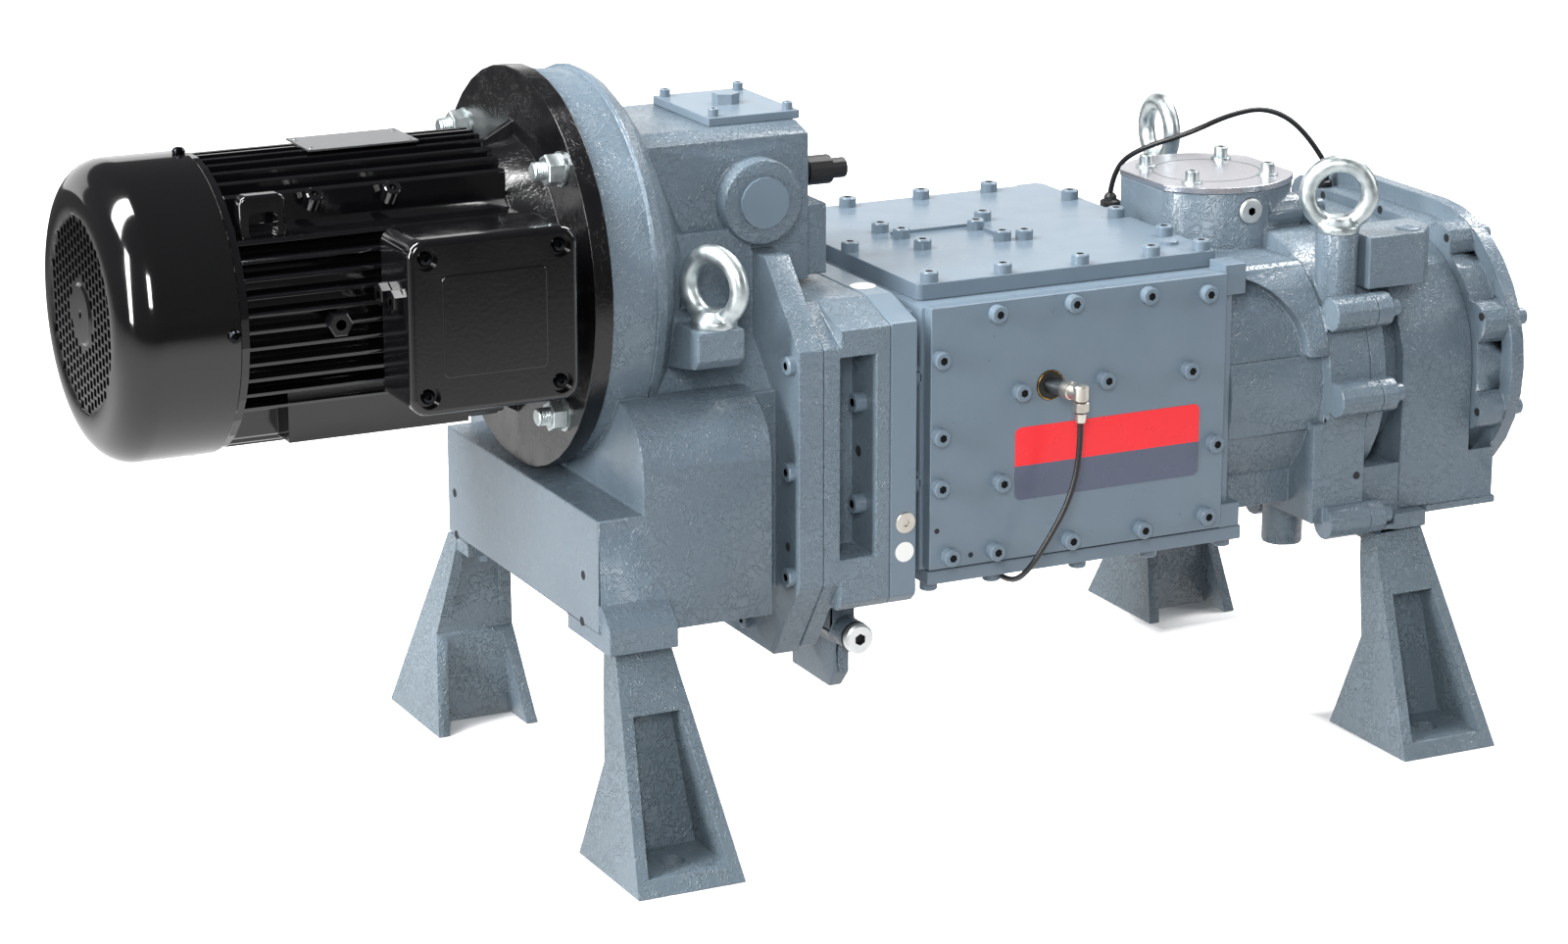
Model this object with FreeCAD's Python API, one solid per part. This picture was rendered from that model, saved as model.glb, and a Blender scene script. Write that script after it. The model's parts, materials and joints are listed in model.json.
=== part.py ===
# Dry screw vacuum pump with its flange motor, standing on four cast legs.
# All sizes are millimetres. X runs along the pump from the motor to the far end,
# Y runs across it and Z points up. The origin lies on the floor at the centre of
# the four foot bolt holes. The legs are drawn from the floor. All other heights are
# measured from the top of the legs, and stand lifts those pieces on to them.
import FreeCAD, Part
import math
import os

V = FreeCAD.Vector
X = V(1, 0, 0)
Y = V(0, 1, 0)
Z = V(0, 0, 1)
os.makedirs("parts", exist_ok=True)

# Clearances between pieces
fit_gap = 0.3
running_gap = 0.05
rotor_gap = 0.5
gear_play = 0.35
case_gap = 2.4
gear_room = 8.0

# Feet and legs
foot_pitch_x = 767.0
foot_track_y = 494.0
leg_height = 190.0
leg_foot_width = 99.5
leg_top_width = 51.0
leg_foot_outer = 41.5
leg_foot_inner = 83.5
leg_top_outer_y = 190.0
leg_top_depth = 23.0
leg_waist_z = 91.0
leg_waist_inner_y = 193.0
leg_wall = 11.0
leg_floor = 14.0
leg_pocket_top_z = 136.0
leg_web_depth = 68.0
leg_web_top_depth = 22.0
leg_head_inner = 49.0
leg_head_outer = 8.0
leg_head_height = 12.0
foot_hole_r = 11.0
leg_bolt_r = 6.0
leg_bolt_head_r = 9.0
leg_bolt_inset = 32.0
leg_bolt_reach = 20.0

# Motor, heights from here on measured from the top of the legs
motor_axis_z = 292.0
flange_front_x = -416.0
flange_thick = 17.0
flange_r = 175.0
flange_bolt_r = 150.0
flange_spigot_r = 125.0
flange_spigot_length = 5.0
flange_rib_r = 130.0
flange_rib_thick = 8.0
stud_r = 8.0
stud_reach = 18.0
stud_nut_r = 13.9
stud_nut_height = 13.0
stud_washer_r = 15.0
stud_washer_height = 2.0
frame_left_x = -700.0
frame_right_x = -452.0
frame_bore_r = 98.0
frame_wall_r = 106.0
fin_tip_r = 124.0
fin_pitch = 14.0
fin_thick = 3.6
fin_corner_angle = 42.0
motor_foot_drop = 104.0
motor_foot_y = 84.0
motor_foot_thick = 28.0
motor_foot_left_x = -660.0
motor_foot_right_x = -500.0
motor_foot_top_drop = 60.0
box_seat_inset_x = 20.0
box_seat_inset_z = 18.0
nameplate_left_x = -610.0
nameplate_length = 98.0
nameplate_width = 56.0
nameplate_thick = 1.5
fan_cover_r = 128.0
fan_cover_wall = 2.5
fan_cover_rim_x = -707.0
fan_cover_face_x = -804.0
fan_cover_screw_r = 5.5
fan_cover_screw_height = 5.0
fan_cover_bevel = 8.0
fan_cover_round = 10.0
fan_cover_depth = 22.0
grille_r = 84.0
grille_dish_r = 26.0
grille_pitch = 26.0
grille_hole = 19.0
shaft_r = 20.0
shaft_end_r = 16.0
shaft_core_r = 26.0
motor_bearing_r = 45.0
motor_bearing_width = 23.0
stator_core_length = 146.0
rotor_core_r = 63.0
air_gap = 1.0
winding_length = 30.0
fan_r = 106.0
fan_blades = 9
fan_blade_thick = 4.0

fan_hub_r = 30.0
fan_disc_thick = 4.0
fan_blade_inset = 6.0

# Terminal box
box_left_x = -588.0
box_right_x = -443.0
box_bottom_z = 227.0
box_top_z = 370.0
box_back_y = -132.0
box_front_y = -200.0
box_lid_thick = 14.0
box_lid_lip = 2.0
box_wall = 5.0
box_corner = 14.0
box_screw_r = 6.0
plug_r = 10.0
plug_length = 9.0
plug_z_above_middle = 20.0
plug_depths = (-148.0, -176.0)
box_body_corner = 12.0
box_screw_floor = 5.0

# Gear train
rotor_half_gap = 70.0
gear_centres = 165.0
drive_teeth = 30
pinion_teeth = 15
timing_teeth = 20
drive_gear_x = -372.0
drive_gear_width = 30.0
timing_gear_x = -316.0
timing_gear_width = 28.0
gear_tip = 0.85
gear_root = 1.1
nose_r = 18.0

# Gearbox housing
bell_front_r = 171.0
bell_neck_r = 167.0
bell_step_x = -357.0
bell_dome = [(0.0, 172.0), (11.0, 166.0), (24.0, 150.0), (37.0, 128.0), (49.0, 110.0), (62.0, 98.0)]
bell_body_x = -346.0
bell_body_y = 105.0
bell_body_top_z = 330.0
bell_body_skirt_y = 142.0
bell_body_skirt_z = 236.0
sump_left_x = -425.0
sump_half_y = 194.0
sump_rear_y = 146.0
sump_bottom_z = 15.0
sump_top_z = 115.0
shoulder_left_x = -383.0
shoulder_right_x = -262.0
shoulder_top_z = 202.0
shoulder_round = 55.0
shoulder_bottom_z = 10.0
shoulder_back_y = 150.0
shoulder_back_bottom_z = 20.0
shoulder_back_top_z = 196.0
foot_pad_left_x = -423.0
foot_pad_right_x = -359.5
foot_pad_y = 212.0
foot_pad_top_z = 39.0
foot_pad_thick = 22.0
foot_pad_inner_y = 120.0
foot_pad_slope = 18.0
foot_pad_rear_inset = 16.0
top_box_front_y = -95.0
top_box_rear_y = 75.0
top_box_z = 413.0
top_box_bottom_z = 210.0
top_box_chamfer = 7.0
top_box_front_slope = 23.0
top_box_rear_slope = 25.0
top_box_right_x = -179.0
shelf_right_x = -156.0
shelf_bottom_z = 277.0
shelf_top_z = 340.0
eye_pad_left_x = -329.0
eye_pad_right_x = -286.0
eye_pad_y = 190.0
eye_pad_top_z = 265.0
eye_pad_inner_y = 90.0
eye_pad_front_z = 240.0
eye_pad_chamfer = 9.0
eye_pad_heel_z = 215.0
left_eye_x = -305.0
left_eye_y = 170.0
boss_x = -231.0
boss_z = 353.0
boss_r = 37.0
boss_front_y = -114.0
boss_cap_r = 22.5
boss_cap_thick = 4.0
top_plate_left_x = -261.0
top_plate_right_x = -174.0
top_plate_front_y = -68.0
top_plate_rear_y = 48.0
top_plate_thick = 7.5
filler_r = 12.0
filler_height = 9.0
filler_y = -10.0
gearbox_screw_inset = 8.0
gearbox_screw_r = 5.0
gearbox_screw_height = 7.0
level_sensor_y = -30.0
level_sensor_z = 357.0
level_sensor_stations = [(0.0, 11.0), (29.0, 13.0), (52.0, 9.0)]
level_sensor_length = 67.0

# Stations along the pump
plate_left_x = -238.0
plate_right_x = -214.0
slot_left_x = -198.0
slot_right_x = -164.0
head_right_x = -150.0
middle_right_x = -124.0
body_left_x = -113.0
body_right_x = 202.0
inlet_flange_x = 300.0
inlet_right_x = 344.0
end_plate_rim_x = 361.0
end_plate_right_x = 390.0
end_ring_left_x = 467.0
end_ring_right_x = 508.0

# Plates, pump body and covers
plate_overhang = 15.0
plate_shoulder_y = 130.0
plate_shoulder_z = 239.0
plate_top_z = 309.0
plate_low_z = 29.0
plate_foot_y = 145.0
plate_foot_z = -45.0
head_top_z = 270.0
head_top_y = 148.0
head_low_z = 10.0
head_corner = 8.0
head_shoulder_z = 254.0
flange_screw_places = [(184.0, 38.0), (184.0, 132.0), (184.0, 226.0), (94.0, -26.0)]
slot_screw_places = [(170.0, 91.0), (170.0, 182.0)]
drain_x = -160.0
drain_z = -38.0
drain_r = 14.0
drain_front_y = -150.0
drain_plug_length = 10.0
drain_back_y = -60.0
tab_left_y = -128.0
tab_right_y = -40.0
tab_bottom_z = -94.0
tab_corner_y = 14.0
tab_corner_z = 16.0
tab_thick = 13.0
slot_depth = 46.0
slot_bottom_z = 50.0
slot_top_z = 230.0
body_wall = 16.0
neck_half_y = 165.0
neck_bottom_z = 35.0
neck_top_z = 255.0
neck_post_r = 10.0
neck_post_y = 172.0
neck_post_heights = (105.0, 200.0)
body_bottom_z = 25.0
body_top_z = 262.0
top_cover_left_x = -105.0
top_cover_right_x = 199.0
top_cover_inset = 21.5
top_cover_thick = 14.5
side_cover_left_x = -110.0
side_cover_right_x = 188.0
side_cover_bottom_z = 28.0
side_cover_top_z = 263.5
side_cover_thick = 13.3
bottom_cover_left_x = -108.0
bottom_cover_right_x = 214.0
bottom_cover_overhang = 6.0
bottom_cover_thick = 13.0
ear_right_x = 210.0
ear_overhang = 9.0
ear_inset = 19.0
ear_high_bottom_z = 242.0
ear_high_top_z = 270.0
ear_low_top_z = 48.0
cap_head_r = 8.0
cap_head_height = 9.0
top_screw_inset = 9.5
top_front_screws = (-89.0, -16.0, 62.0, 135.0, 187.0)
top_rear_screws = (-89.0, -16.0, 62.0, 135.0)
top_inner_screws = [(187.0, 86.0), (187.0, 0.0), (187.0, -86.0), (-98.0, -16.0), (-38.0, 41.0), (-32.0, 11.0),
                    (69.0, 42.0), (46.0, 13.0), (46.0, -37.0), (66.0, -42.0), (-35.0, -36.0)]
side_screws = [(-47.0, 253.0), (29.0, 254.0), (105.0, 253.0), (166.0, 248.0), (-102.0, 218.0), (-22.0, 180.0),
               (63.0, 181.0), (149.0, 180.0), (-102.0, 149.0), (177.0, 109.0), (-102.0, 103.0), (-41.0, 100.0),
               (-91.0, 39.0), (-46.0, 38.0), (30.0, 38.0), (104.0, 38.0), (170.0, 42.0)]
bottom_screw_inset = 17.0
bottom_screws = (-98.0, -35.0, 53.0, 126.0, 204.0)
flange_head_r = 9.0
flange_head_height = 7.0
slot_head_r = 9.5
slot_head_height = 10.0
sensor_x = 8.6
sensor_z = 182.0
sensor_hole_r = 13.5
sensor_elbow_x = 10.0
sensor_elbow_y = 36.0
sensor_plug_drop = 28.0

# Screw rotors, their bearings and seals
screw_outer_r = 95.0
screw_root_r = 44.5
screw_pitch = 62.8
screw_turn_step = 45.0
thread_share = 0.42
rotor_end_gap = 1.0
rotor_shaft_r = 22.0
rotor_bearing_r = 42.0
rotor_bearing_width = 26.0
seal_r = 30.0
seal_width = 12.0
seal_wall = 8.0

# Inlet end
inlet_x = 284.0
inlet_boss_r = 79.5
inlet_boss_flat = 70.0
inlet_boss_top_z = 305.5
inlet_plate_thick = 5.5
inlet_port_r = 50.0
side_plug_r = 13.0
side_plug_z = 288.0
boss_step_z = 297.0
inlet_screw_circle_r = 58.0
inlet_washer_r = 10.0
inlet_washer_height = 2.0
inlet_screw_r = 7.0
inlet_screw_height = 12.0
barrel_r = 115.0
shell_r = 128.0
arch_x = 217.0
arch_z = 184.0
arch_r = 62.0
beam_bottom_z = 104.0
beam_top_z = 175.0
beam_inner_y = 120.0
inlet_block_y = 150.0
inlet_block_bottom_z = 28.0
flange_foot_y = 190.0
flange_foot_bottom_z = 16.0
flange_foot_top_z = 110.0
boss_bottom_z = 240.0
roof_z = 252.0
end_flange_r = 126.0
end_lobe_r = 16.0
lobe_centres = [(190.0, 212.0), (203.0, 135.0), (60.0, 280.0), (70.0, 8.0)]
low_lobe_y = 190.0
low_lobe_z = 16.0
inlet_wall = 30.0
right_eye_x = 324.0
right_eye_y = 162.0
right_eye_z = 282.0
right_eye_pad_r = 19.5
right_eye_pad_bottom_z = 210.0
rear_eye_shift_x = 6.0
stub_x = 312.0
stub_y = -105.0
stub_r = 19.0
stub_bottom_z = -25.0
lug_right_x = 424.0
lug_inner_y = 130.0
lug_chamfer_x = 21.0
lug_chamfer_y = 23.0
lug_outer_y = 186.0
lug_bottom_z = 230.0
lug_top_z = 278.0
drum_r = 110.0
drum_wall = 14.0
end_plate_hub_r = 100.0
drum_bottom_z = 15.0
end_ring_r = 134.0
end_ring_body_r = 118.0
end_ring_rim = 14.0
end_ring_pad_r = 20.0
end_bar_top_z = 60.0
corner_right_x = 495.0
corner_inner_y = 100.0
corner_top_z = 62.0
sole_left_x = 420.0
sole_thick = 7.0
sole_lip = 2.5
end_screw_circle_r = 120.0
end_screw_angles = (66.0, 21.0, -21.0, -66.0)
end_head_height = 12.0
leg_pad_left_x = 356.0
leg_pad_right_x = 412.0
leg_pad_inner_y = 138.0
leg_pad_outer_y = 194.0

# Lifting eyes, made to the usual M20 size
eye_ring_r = 28.0
eye_wire_r = 8.0
eye_height = 71.0
eye_collar_r = 20.0
eye_collar_height = 9.0
eye_neck_r = 13.0
eye_shank_r = 10.0
eye_shank_length = 30.0
eye_turns = (-65.0, -65.0, -28.0, -95.0)

# Sensor cables
cable_r = 2.6
gland_r = 6.0
dome_x = 283.0
dome_y = 173.0
dome_r = 10.0
dome_pad_z = 240.0
dome_pad_half_x = 12.0
dome_pad_half_y = 13.0
dome_height = 16.0
end_sensor_x = 480.0
end_sensor_y = 100.0
end_sensor_seat_z = 254.0
end_sensor_height = 28.0
gland_z = 2.0

# Sizes that follow from the ones above
body_half_y = rotor_half_gap + screw_outer_r + body_wall
plate_half_y = body_half_y + plate_overhang
top_cover_half_y = body_half_y - top_cover_inset
bottom_cover_half_y = body_half_y + bottom_cover_overhang
ear_half_y = body_half_y + ear_overhang
ear_inner_y = body_half_y - ear_inset
gear_room_right_x = drive_gear_x + drive_gear_width + gear_room
rotor_axis_z = motor_axis_z - math.sqrt(gear_centres ** 2 - rotor_half_gap ** 2)
flange_back_x = flange_front_x + flange_thick
gear_case_left_x = drive_gear_x - 5
pinion_r = gear_centres * pinion_teeth / (pinion_teeth + drive_teeth)
drive_r = gear_centres - pinion_r
drive_case_r = drive_r * (1 + 2 * gear_tip / drive_teeth) + case_gap
timing_case_r = rotor_half_gap * (1 + 2 * gear_tip / timing_teeth) + case_gap
front_cover_y = -body_half_y - side_cover_thick
cover_top_z = body_top_z + top_cover_thick
bore_r = screw_outer_r + rotor_gap
leg_bolt_y = leg_top_outer_y - leg_bolt_inset
eye_hole_r = eye_shank_r / math.cos(math.pi / 8)
left_eyes = [(left_eye_x, side * left_eye_y, eye_pad_top_z) for side in (-1, 1)]
right_eyes = [(right_eye_x, -right_eye_y, right_eye_z), (right_eye_x + rear_eye_shift_x, right_eye_y, right_eye_z)]


def save(shape, node):
    shape.exportStep("parts/" + node + ".step")
    print(node, shape.isValid(), len(shape.Solids))


def stand(shape, node):
    # the pieces that stand on the legs
    lifted = shape.copy()
    lifted.translate(V(0, 0, leg_height))
    save(lifted, node)


def group(shapes):
    return Part.makeCompound(shapes)


def union(shapes):
    whole = shapes[0]
    if len(shapes) > 1:
        whole = whole.fuse(shapes[1:])
    return whole.removeSplitter()


def block(x0, x1, y0, y1, z0, z1):
    # the two y values may come in either order
    return Part.makeBox(x1 - x0, abs(y1 - y0), z1 - z0, V(x0, min(y0, y1), z0))


def rod(r, start, end):
    a = V(*start)
    b = V(*end)
    return Part.makeCylinder(r, a.distanceToPoint(b), a, b - a)


def rod_x(r, x0, x1, y, z):
    return rod(r, (x0, y, z), (x1, y, z))


def rod_z(r, z0, z1, x, y):
    return rod(r, (x, y, z0), (x, y, z1))


def face_of(points):
    return Part.Face(Part.makePolygon(points + [points[0]]))


def peg(r, start, end, sides=8):
    # a small round piece, made as a prism with few sides because there are many of them
    a = V(*start)
    b = V(*end)
    step = 2 * math.pi / sides
    corners = [V(r * math.cos(step * (k + 0.5)), r * math.sin(step * (k + 0.5)), 0) for k in range(sides)]
    solid = face_of(corners).extrude(V(0, 0, a.distanceToPoint(b)))
    solid.Placement = FreeCAD.Placement(a, FreeCAD.Rotation(Z, b - a))
    return solid


def sleeve(r, hole_r, x0, x1, y, z, sides=16):
    return peg(r, (x0, y, z), (x1, y, z), sides).cut(peg(hole_r, (x0 - 1, y, z), (x1 + 1, y, z), sides))


def slab_x(outline, x0, x1):
    # the outline is a list of (y, z) corners
    return face_of([V(x0, y, z) for y, z in outline]).extrude(V(x1 - x0, 0, 0))


def slab_y(outline, y0, y1):
    # the outline is a list of (x, z) corners
    return face_of([V(x, y0, z) for x, z in outline]).extrude(V(0, y1 - y0, 0))


def ring_points(x, r, y, z, sides):
    step = 2 * math.pi / sides
    return [V(x, y + r * math.sin(step * (k + 0.5)), z + r * math.cos(step * (k + 0.5))) for k in range(sides)]


def turned(stations, y, z, sides=40):
    # a turned piece with flat sides, the stations are (x, radius) pairs along a line in X
    return skin([ring_points(x, r, y, z, sides) for x, r in stations], False).removeSplitter()


def bearing_seat(x0, x1, r, y, z):
    return peg(r, (x0, y, z), (x1, y, z), 16)


def lobes(r, x0, x1, sides=24):
    # two rounds side by side, one about each screw rotor, with their flats at the given radius
    corner_r = r / math.cos(math.pi / sides)
    rounds = [peg(corner_r, (x0, y, rotor_axis_z), (x1, y, rotor_axis_z), sides)
              for y in (-rotor_half_gap, rotor_half_gap)]
    return rounds[0].fuse(rounds[1])


def stadium(r, x0, x1, steps=16):
    # a long round outline about both screw rotors, its two ends drawn with flat steps
    outline = []
    for side in (1, -1):
        for k in range(steps + 1):
            a = math.pi * k / steps
            outline.append((side * (rotor_half_gap + r * math.sin(a)), rotor_axis_z + side * r * math.cos(a)))
    return slab_x(outline, x0, x1)


def skin(rows, closed):
    # a solid stretched over rows of points, each row a loop of the same number of points
    faces = [] if closed else [face_of(rows[0]), face_of(rows[-1])]
    pairs = list(zip(rows, rows[1:]))
    if closed:
        pairs.append((rows[-1], rows[0]))
    for low, high in pairs:
        for k in range(len(low)):
            m = (k + 1) % len(low)
            straight = (low[k] - high[m]).Length <= (low[m] - high[k]).Length
            if straight:
                faces.append(face_of([low[k], low[m], high[m]]))
                faces.append(face_of([low[k], high[m], high[k]]))
            else:
                faces.append(face_of([low[k], low[m], high[k]]))
                faces.append(face_of([low[m], high[m], high[k]]))
    solid = Part.Solid(Part.Shell(faces))
    if solid.Volume < 0:
        solid.reverse()
    return solid


def along(edge, direction):
    if len(edge.Vertexes) < 2 or edge.Curve.TypeId != "Part::GeomLine":
        return False
    run = edge.Vertexes[-1].Point - edge.Vertexes[0].Point
    return run.Length > 0.001 and abs(abs(run.normalize().dot(direction)) - 1) < 0.001


def rounded(shape, radius, direction, test=None):
    picked = [e for e in shape.Edges if along(e, direction)]
    if test:
        picked = [e for e in picked if test(e.CenterOfMass)]
    return shape.makeFillet(radius, picked)


def heads(places, way, r, height, sides=8):
    # round screw heads standing on a face, way is the outward direction
    return [peg(r, p, tuple(a + b * height for a, b in zip(p, way)), sides) for p in places]


def both(places):
    # the same places again on the other side of the pump
    return places + [(x, -y, z) for x, y, z in places]


def leg(side_x, side_y):
    # a cast boot with a pocket on the outside and a channel on the inside
    foot_out = foot_track_y / 2 + leg_foot_outer
    foot_in = foot_track_y / 2 - leg_foot_inner
    half_foot = leg_foot_width / 2
    half_top = leg_top_width / 2
    top_inner = leg_top_outer_y - leg_top_depth
    side = [(foot_out, 0), (leg_top_outer_y, leg_height), (top_inner, leg_height), (top_inner + 6, leg_height - 30),
            (leg_waist_inner_y, leg_waist_z), (foot_in, 0)]
    front = [(-half_foot, 0), (half_foot, 0), (half_top, leg_height), (-half_top, leg_height)]
    whole = slab_x(side, -half_foot, half_foot).common(slab_y(front, 0, foot_out))

    def half_at(z):
        return half_foot + (half_top - half_foot) * z / leg_height - leg_wall

    def outer_at(z):
        return foot_out - (foot_out - leg_top_outer_y) * z / leg_height

    low = leg_floor
    high = leg_pocket_top_z
    web_low = outer_at(low) - leg_web_depth
    web_high = outer_at(high) - leg_web_top_depth
    pocket = slab_y([(-half_at(low), low), (half_at(low), low), (half_at(high), high), (-half_at(high), high)],
                    0, foot_out + 1)
    pocket = pocket.common(slab_x([(web_low, low), (foot_out + 5, low), (foot_out + 5, high), (web_high, high)],
                                  -half_foot, half_foot))
    head_z = leg_height - leg_head_height
    channel = slab_y([(-half_at(0), -1), (half_at(0), -1), (half_at(head_z), head_z), (-half_at(head_z), head_z)],
                     0, foot_out)
    channel = channel.common(slab_x([(0, -1), (web_low - leg_wall, -1), (web_high - leg_wall, high),
                                     (top_inner + 3, head_z), (0, head_z)], -half_foot, half_foot))
    head = block(-half_top, half_top, leg_top_outer_y - leg_head_inner, leg_top_outer_y - leg_head_outer, head_z,
                 leg_height)
    whole = whole.cut([pocket, channel]).fuse(head)
    whole = whole.cut([rod_z(foot_hole_r, -1, leg_floor + 1, 0, foot_track_y / 2),
                       peg(leg_bolt_r + fit_gap, (0, leg_bolt_y, head_z - 1), (0, leg_bolt_y, leg_height + 1))])
    whole = whole.removeSplitter()
    if side_y < 0:
        whole = whole.mirror(V(0, 0, 0), Y)
    whole.translate(V(side_x * foot_pitch_x / 2, 0, 0))
    return whole


save(leg(-1, -1), "front_left_leg")
save(leg(-1, 1), "rear_left_leg")
save(leg(1, -1), "front_right_leg")
save(leg(1, 1), "rear_right_leg")

# Bolts that hold the legs, each with its head under the top plate of the leg
leg_bolt_places = [(sx * foot_pitch_x / 2, sy * leg_bolt_y) for sx in (-1, 1) for sy in (-1, 1)]
bolts = []
for x, y in leg_bolt_places:
    seat = leg_height - leg_head_height
    shank = peg(leg_bolt_r, (x, y, seat), (x, y, leg_height + leg_bolt_reach))
    bolts.append(peg(leg_bolt_head_r, (x, y, seat - leg_bolt_head_r), (x, y, seat)).fuse(shank))
save(group(bolts), "leg_bolts")


def leg_bolt_holes():
    return [peg(leg_bolt_r + fit_gap, (x, y, -1), (x, y, leg_bolt_reach + 1)) for x, y in leg_bolt_places]


# Motor frame, one extruded section with cooling fins square to its four sides
fin_count = int(fin_tip_r * math.sin(math.radians(fin_corner_angle)) / fin_pitch)
outline = []
for turn in range(4):
    for n in range(-fin_count, fin_count + 1):
        for d, r in ((-0.5, frame_wall_r), (-0.5, fin_tip_r), (0.5, fin_tip_r), (0.5, frame_wall_r)):
            across = n * fin_pitch + d * fin_thick
            up = math.sqrt(r ** 2 - across ** 2)
            for k in range(turn):
                across, up = up, -across
            outline.append((across, motor_axis_z + up))
frame = slab_x(outline, frame_left_x, frame_right_x)
box_mid_z = (box_bottom_z + box_top_z) / 2
seats = [block(box_left_x + box_seat_inset_x, box_right_x - box_seat_inset_x, box_back_y, -frame_bore_r,
               box_bottom_z + box_seat_inset_z, box_top_z - box_seat_inset_z)]
for side in (-1, 1):
    seats.append(block(motor_foot_left_x, motor_foot_right_x, side * (motor_foot_y - motor_foot_thick / 2),
                       side * (motor_foot_y + motor_foot_thick / 2), motor_axis_z - motor_foot_drop,
                       motor_axis_z - motor_foot_top_drop))
frame = frame.fuse(seats).cut(peg(frame_bore_r / math.cos(math.pi / 24), (frame_left_x - 1, 0, motor_axis_z),
                                  (frame_right_x + 1, 0, motor_axis_z), 24))
stand(frame.removeSplitter(), "motor_frame")

# Stator core and windings inside the frame, rotor core on the shaft
core_left_x = (frame_left_x + frame_right_x - stator_core_length) / 2 - 5
core_right_x = core_left_x + stator_core_length
stand(sleeve(frame_bore_r, rotor_core_r + air_gap + 1, core_left_x, core_right_x, 0, motor_axis_z, 24),
     "motor_stator_core")
coils = []
for x0 in (core_left_x - winding_length, core_right_x):
    coils.append(sleeve(frame_bore_r - 8, rotor_core_r + 7, x0, x0 + winding_length, 0, motor_axis_z))
stand(group(coils), "motor_windings")
stand(sleeve(rotor_core_r, shaft_core_r, core_left_x, core_right_x, 0, motor_axis_z), "motor_rotor_core")

# Drive end shield carrying the large flange, its studs and nuts
bearing_left_x = flange_front_x - 15
shield = turned([(frame_right_x, frame_wall_r + 2), (flange_front_x, frame_wall_r + 10),
                 (flange_front_x, flange_r), (flange_back_x, flange_r),
                 (flange_back_x, flange_spigot_r - fit_gap),
                 (flange_back_x + flange_spigot_length, flange_spigot_r - fit_gap)], 0, motor_axis_z)
ribs = []
for k in range(4):
    rib = slab_y([(frame_right_x + 1, frame_wall_r - 4), (frame_right_x + 8, frame_wall_r + 8),
                  (flange_front_x + 1, flange_rib_r), (flange_front_x + 1, frame_wall_r - 4)],
                 -flange_rib_thick / 2, flange_rib_thick / 2)
    rib.rotate(V(0, 0, 0), X, 90 * k)
    rib.translate(V(0, 0, motor_axis_z))
    ribs.append(rib)
stud_places = []
for k in range(4):
    angle = math.radians(45 + 90 * k)
    stud_places.append((flange_bolt_r * math.cos(angle), motor_axis_z + flange_bolt_r * math.sin(angle)))
cuts = [peg(frame_bore_r - 8, (frame_right_x - 1, 0, motor_axis_z), (bearing_left_x + 1, 0, motor_axis_z), 16)]
cuts.append(bearing_seat(bearing_left_x, bearing_left_x + motor_bearing_width, motor_bearing_r, 0, motor_axis_z))
cuts.append(peg(shaft_r + 2, (bearing_left_x, 0, motor_axis_z), (flange_back_x + 10, 0, motor_axis_z), 16))
for y, z in stud_places:
    cuts.append(peg(stud_r + 1, (flange_front_x - 1, y, z), (flange_back_x + 1, y, z), 12))
stand(shield.fuse(ribs).cut(cuts).removeSplitter(), "drive_end_shield")

studs = []
for y, z in stud_places:
    washer_x = flange_front_x - stud_washer_height
    nut_x = washer_x - stud_nut_height
    pieces = [peg(stud_r, (nut_x - 11, y, z), (flange_back_x + stud_reach, y, z))]
    pieces.append(peg(stud_nut_r, (nut_x, y, z), (washer_x, y, z), 6))
    pieces.append(peg(stud_washer_r, (washer_x, y, z), (flange_front_x, y, z), 10))
    studs.append(union(pieces))
stand(group(studs), "flange_studs")

# Fan end shield, fan cover with its punched grille, and the screws of the cover
fan_bearing_x = frame_left_x - 11
shield_left_x = frame_left_x - 14
hub_right_x = fan_bearing_x + motor_bearing_width
shield = peg(fan_cover_r - fan_cover_wall - fit_gap, (shield_left_x, 0, motor_axis_z),
             (frame_left_x, 0, motor_axis_z), 32)
shield = shield.fuse(peg(motor_bearing_r + 11, (frame_left_x, 0, motor_axis_z), (hub_right_x, 0, motor_axis_z), 16))
shield = shield.cut([bearing_seat(fan_bearing_x, hub_right_x + 1, motor_bearing_r, 0, motor_axis_z),
                     peg(shaft_r + 2, (shield_left_x - 1, 0, motor_axis_z), (frame_left_x, 0, motor_axis_z), 16)])
stand(shield.removeSplitter(), "fan_end_shield")

wall = fan_cover_wall
outside = [(fan_cover_face_x, grille_r), (fan_cover_face_x + fan_cover_bevel, fan_cover_r - fan_cover_round),
           (fan_cover_face_x + fan_cover_depth, fan_cover_r), (fan_cover_rim_x, fan_cover_r)]
inside = [(fan_cover_face_x + wall, grille_r),
          (fan_cover_face_x + fan_cover_bevel + wall, fan_cover_r - fan_cover_round - wall / 2),
          (fan_cover_face_x + fan_cover_depth + wall, fan_cover_r - wall), (fan_cover_rim_x + 1, fan_cover_r - wall)]
cover = turned(outside, 0, motor_axis_z, 32).cut(turned(inside, 0, motor_axis_z, 32))
holes = []
reach = int(grille_r / grille_pitch) + 1
half_hole = grille_hole / 2
for i in range(-reach, reach + 1):
    for j in range(-reach, reach + 1):
        y = i * grille_pitch
        z = (j + 0.5 * (i % 2)) * grille_pitch
        far = math.hypot(abs(y) + half_hole, abs(z) + half_hole)
        near = math.hypot(max(abs(y) - half_hole, 0), max(abs(z) - half_hole, 0))
        if far < grille_r - 1 and near > grille_dish_r - 3:
            holes.append(block(fan_cover_face_x - 1, fan_cover_face_x + wall + 1, y - half_hole, y + half_hole,
                               motor_axis_z + z - half_hole, motor_axis_z + z + half_hole))
stand(cover.cut(group(holes)), "fan_cover")

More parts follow.
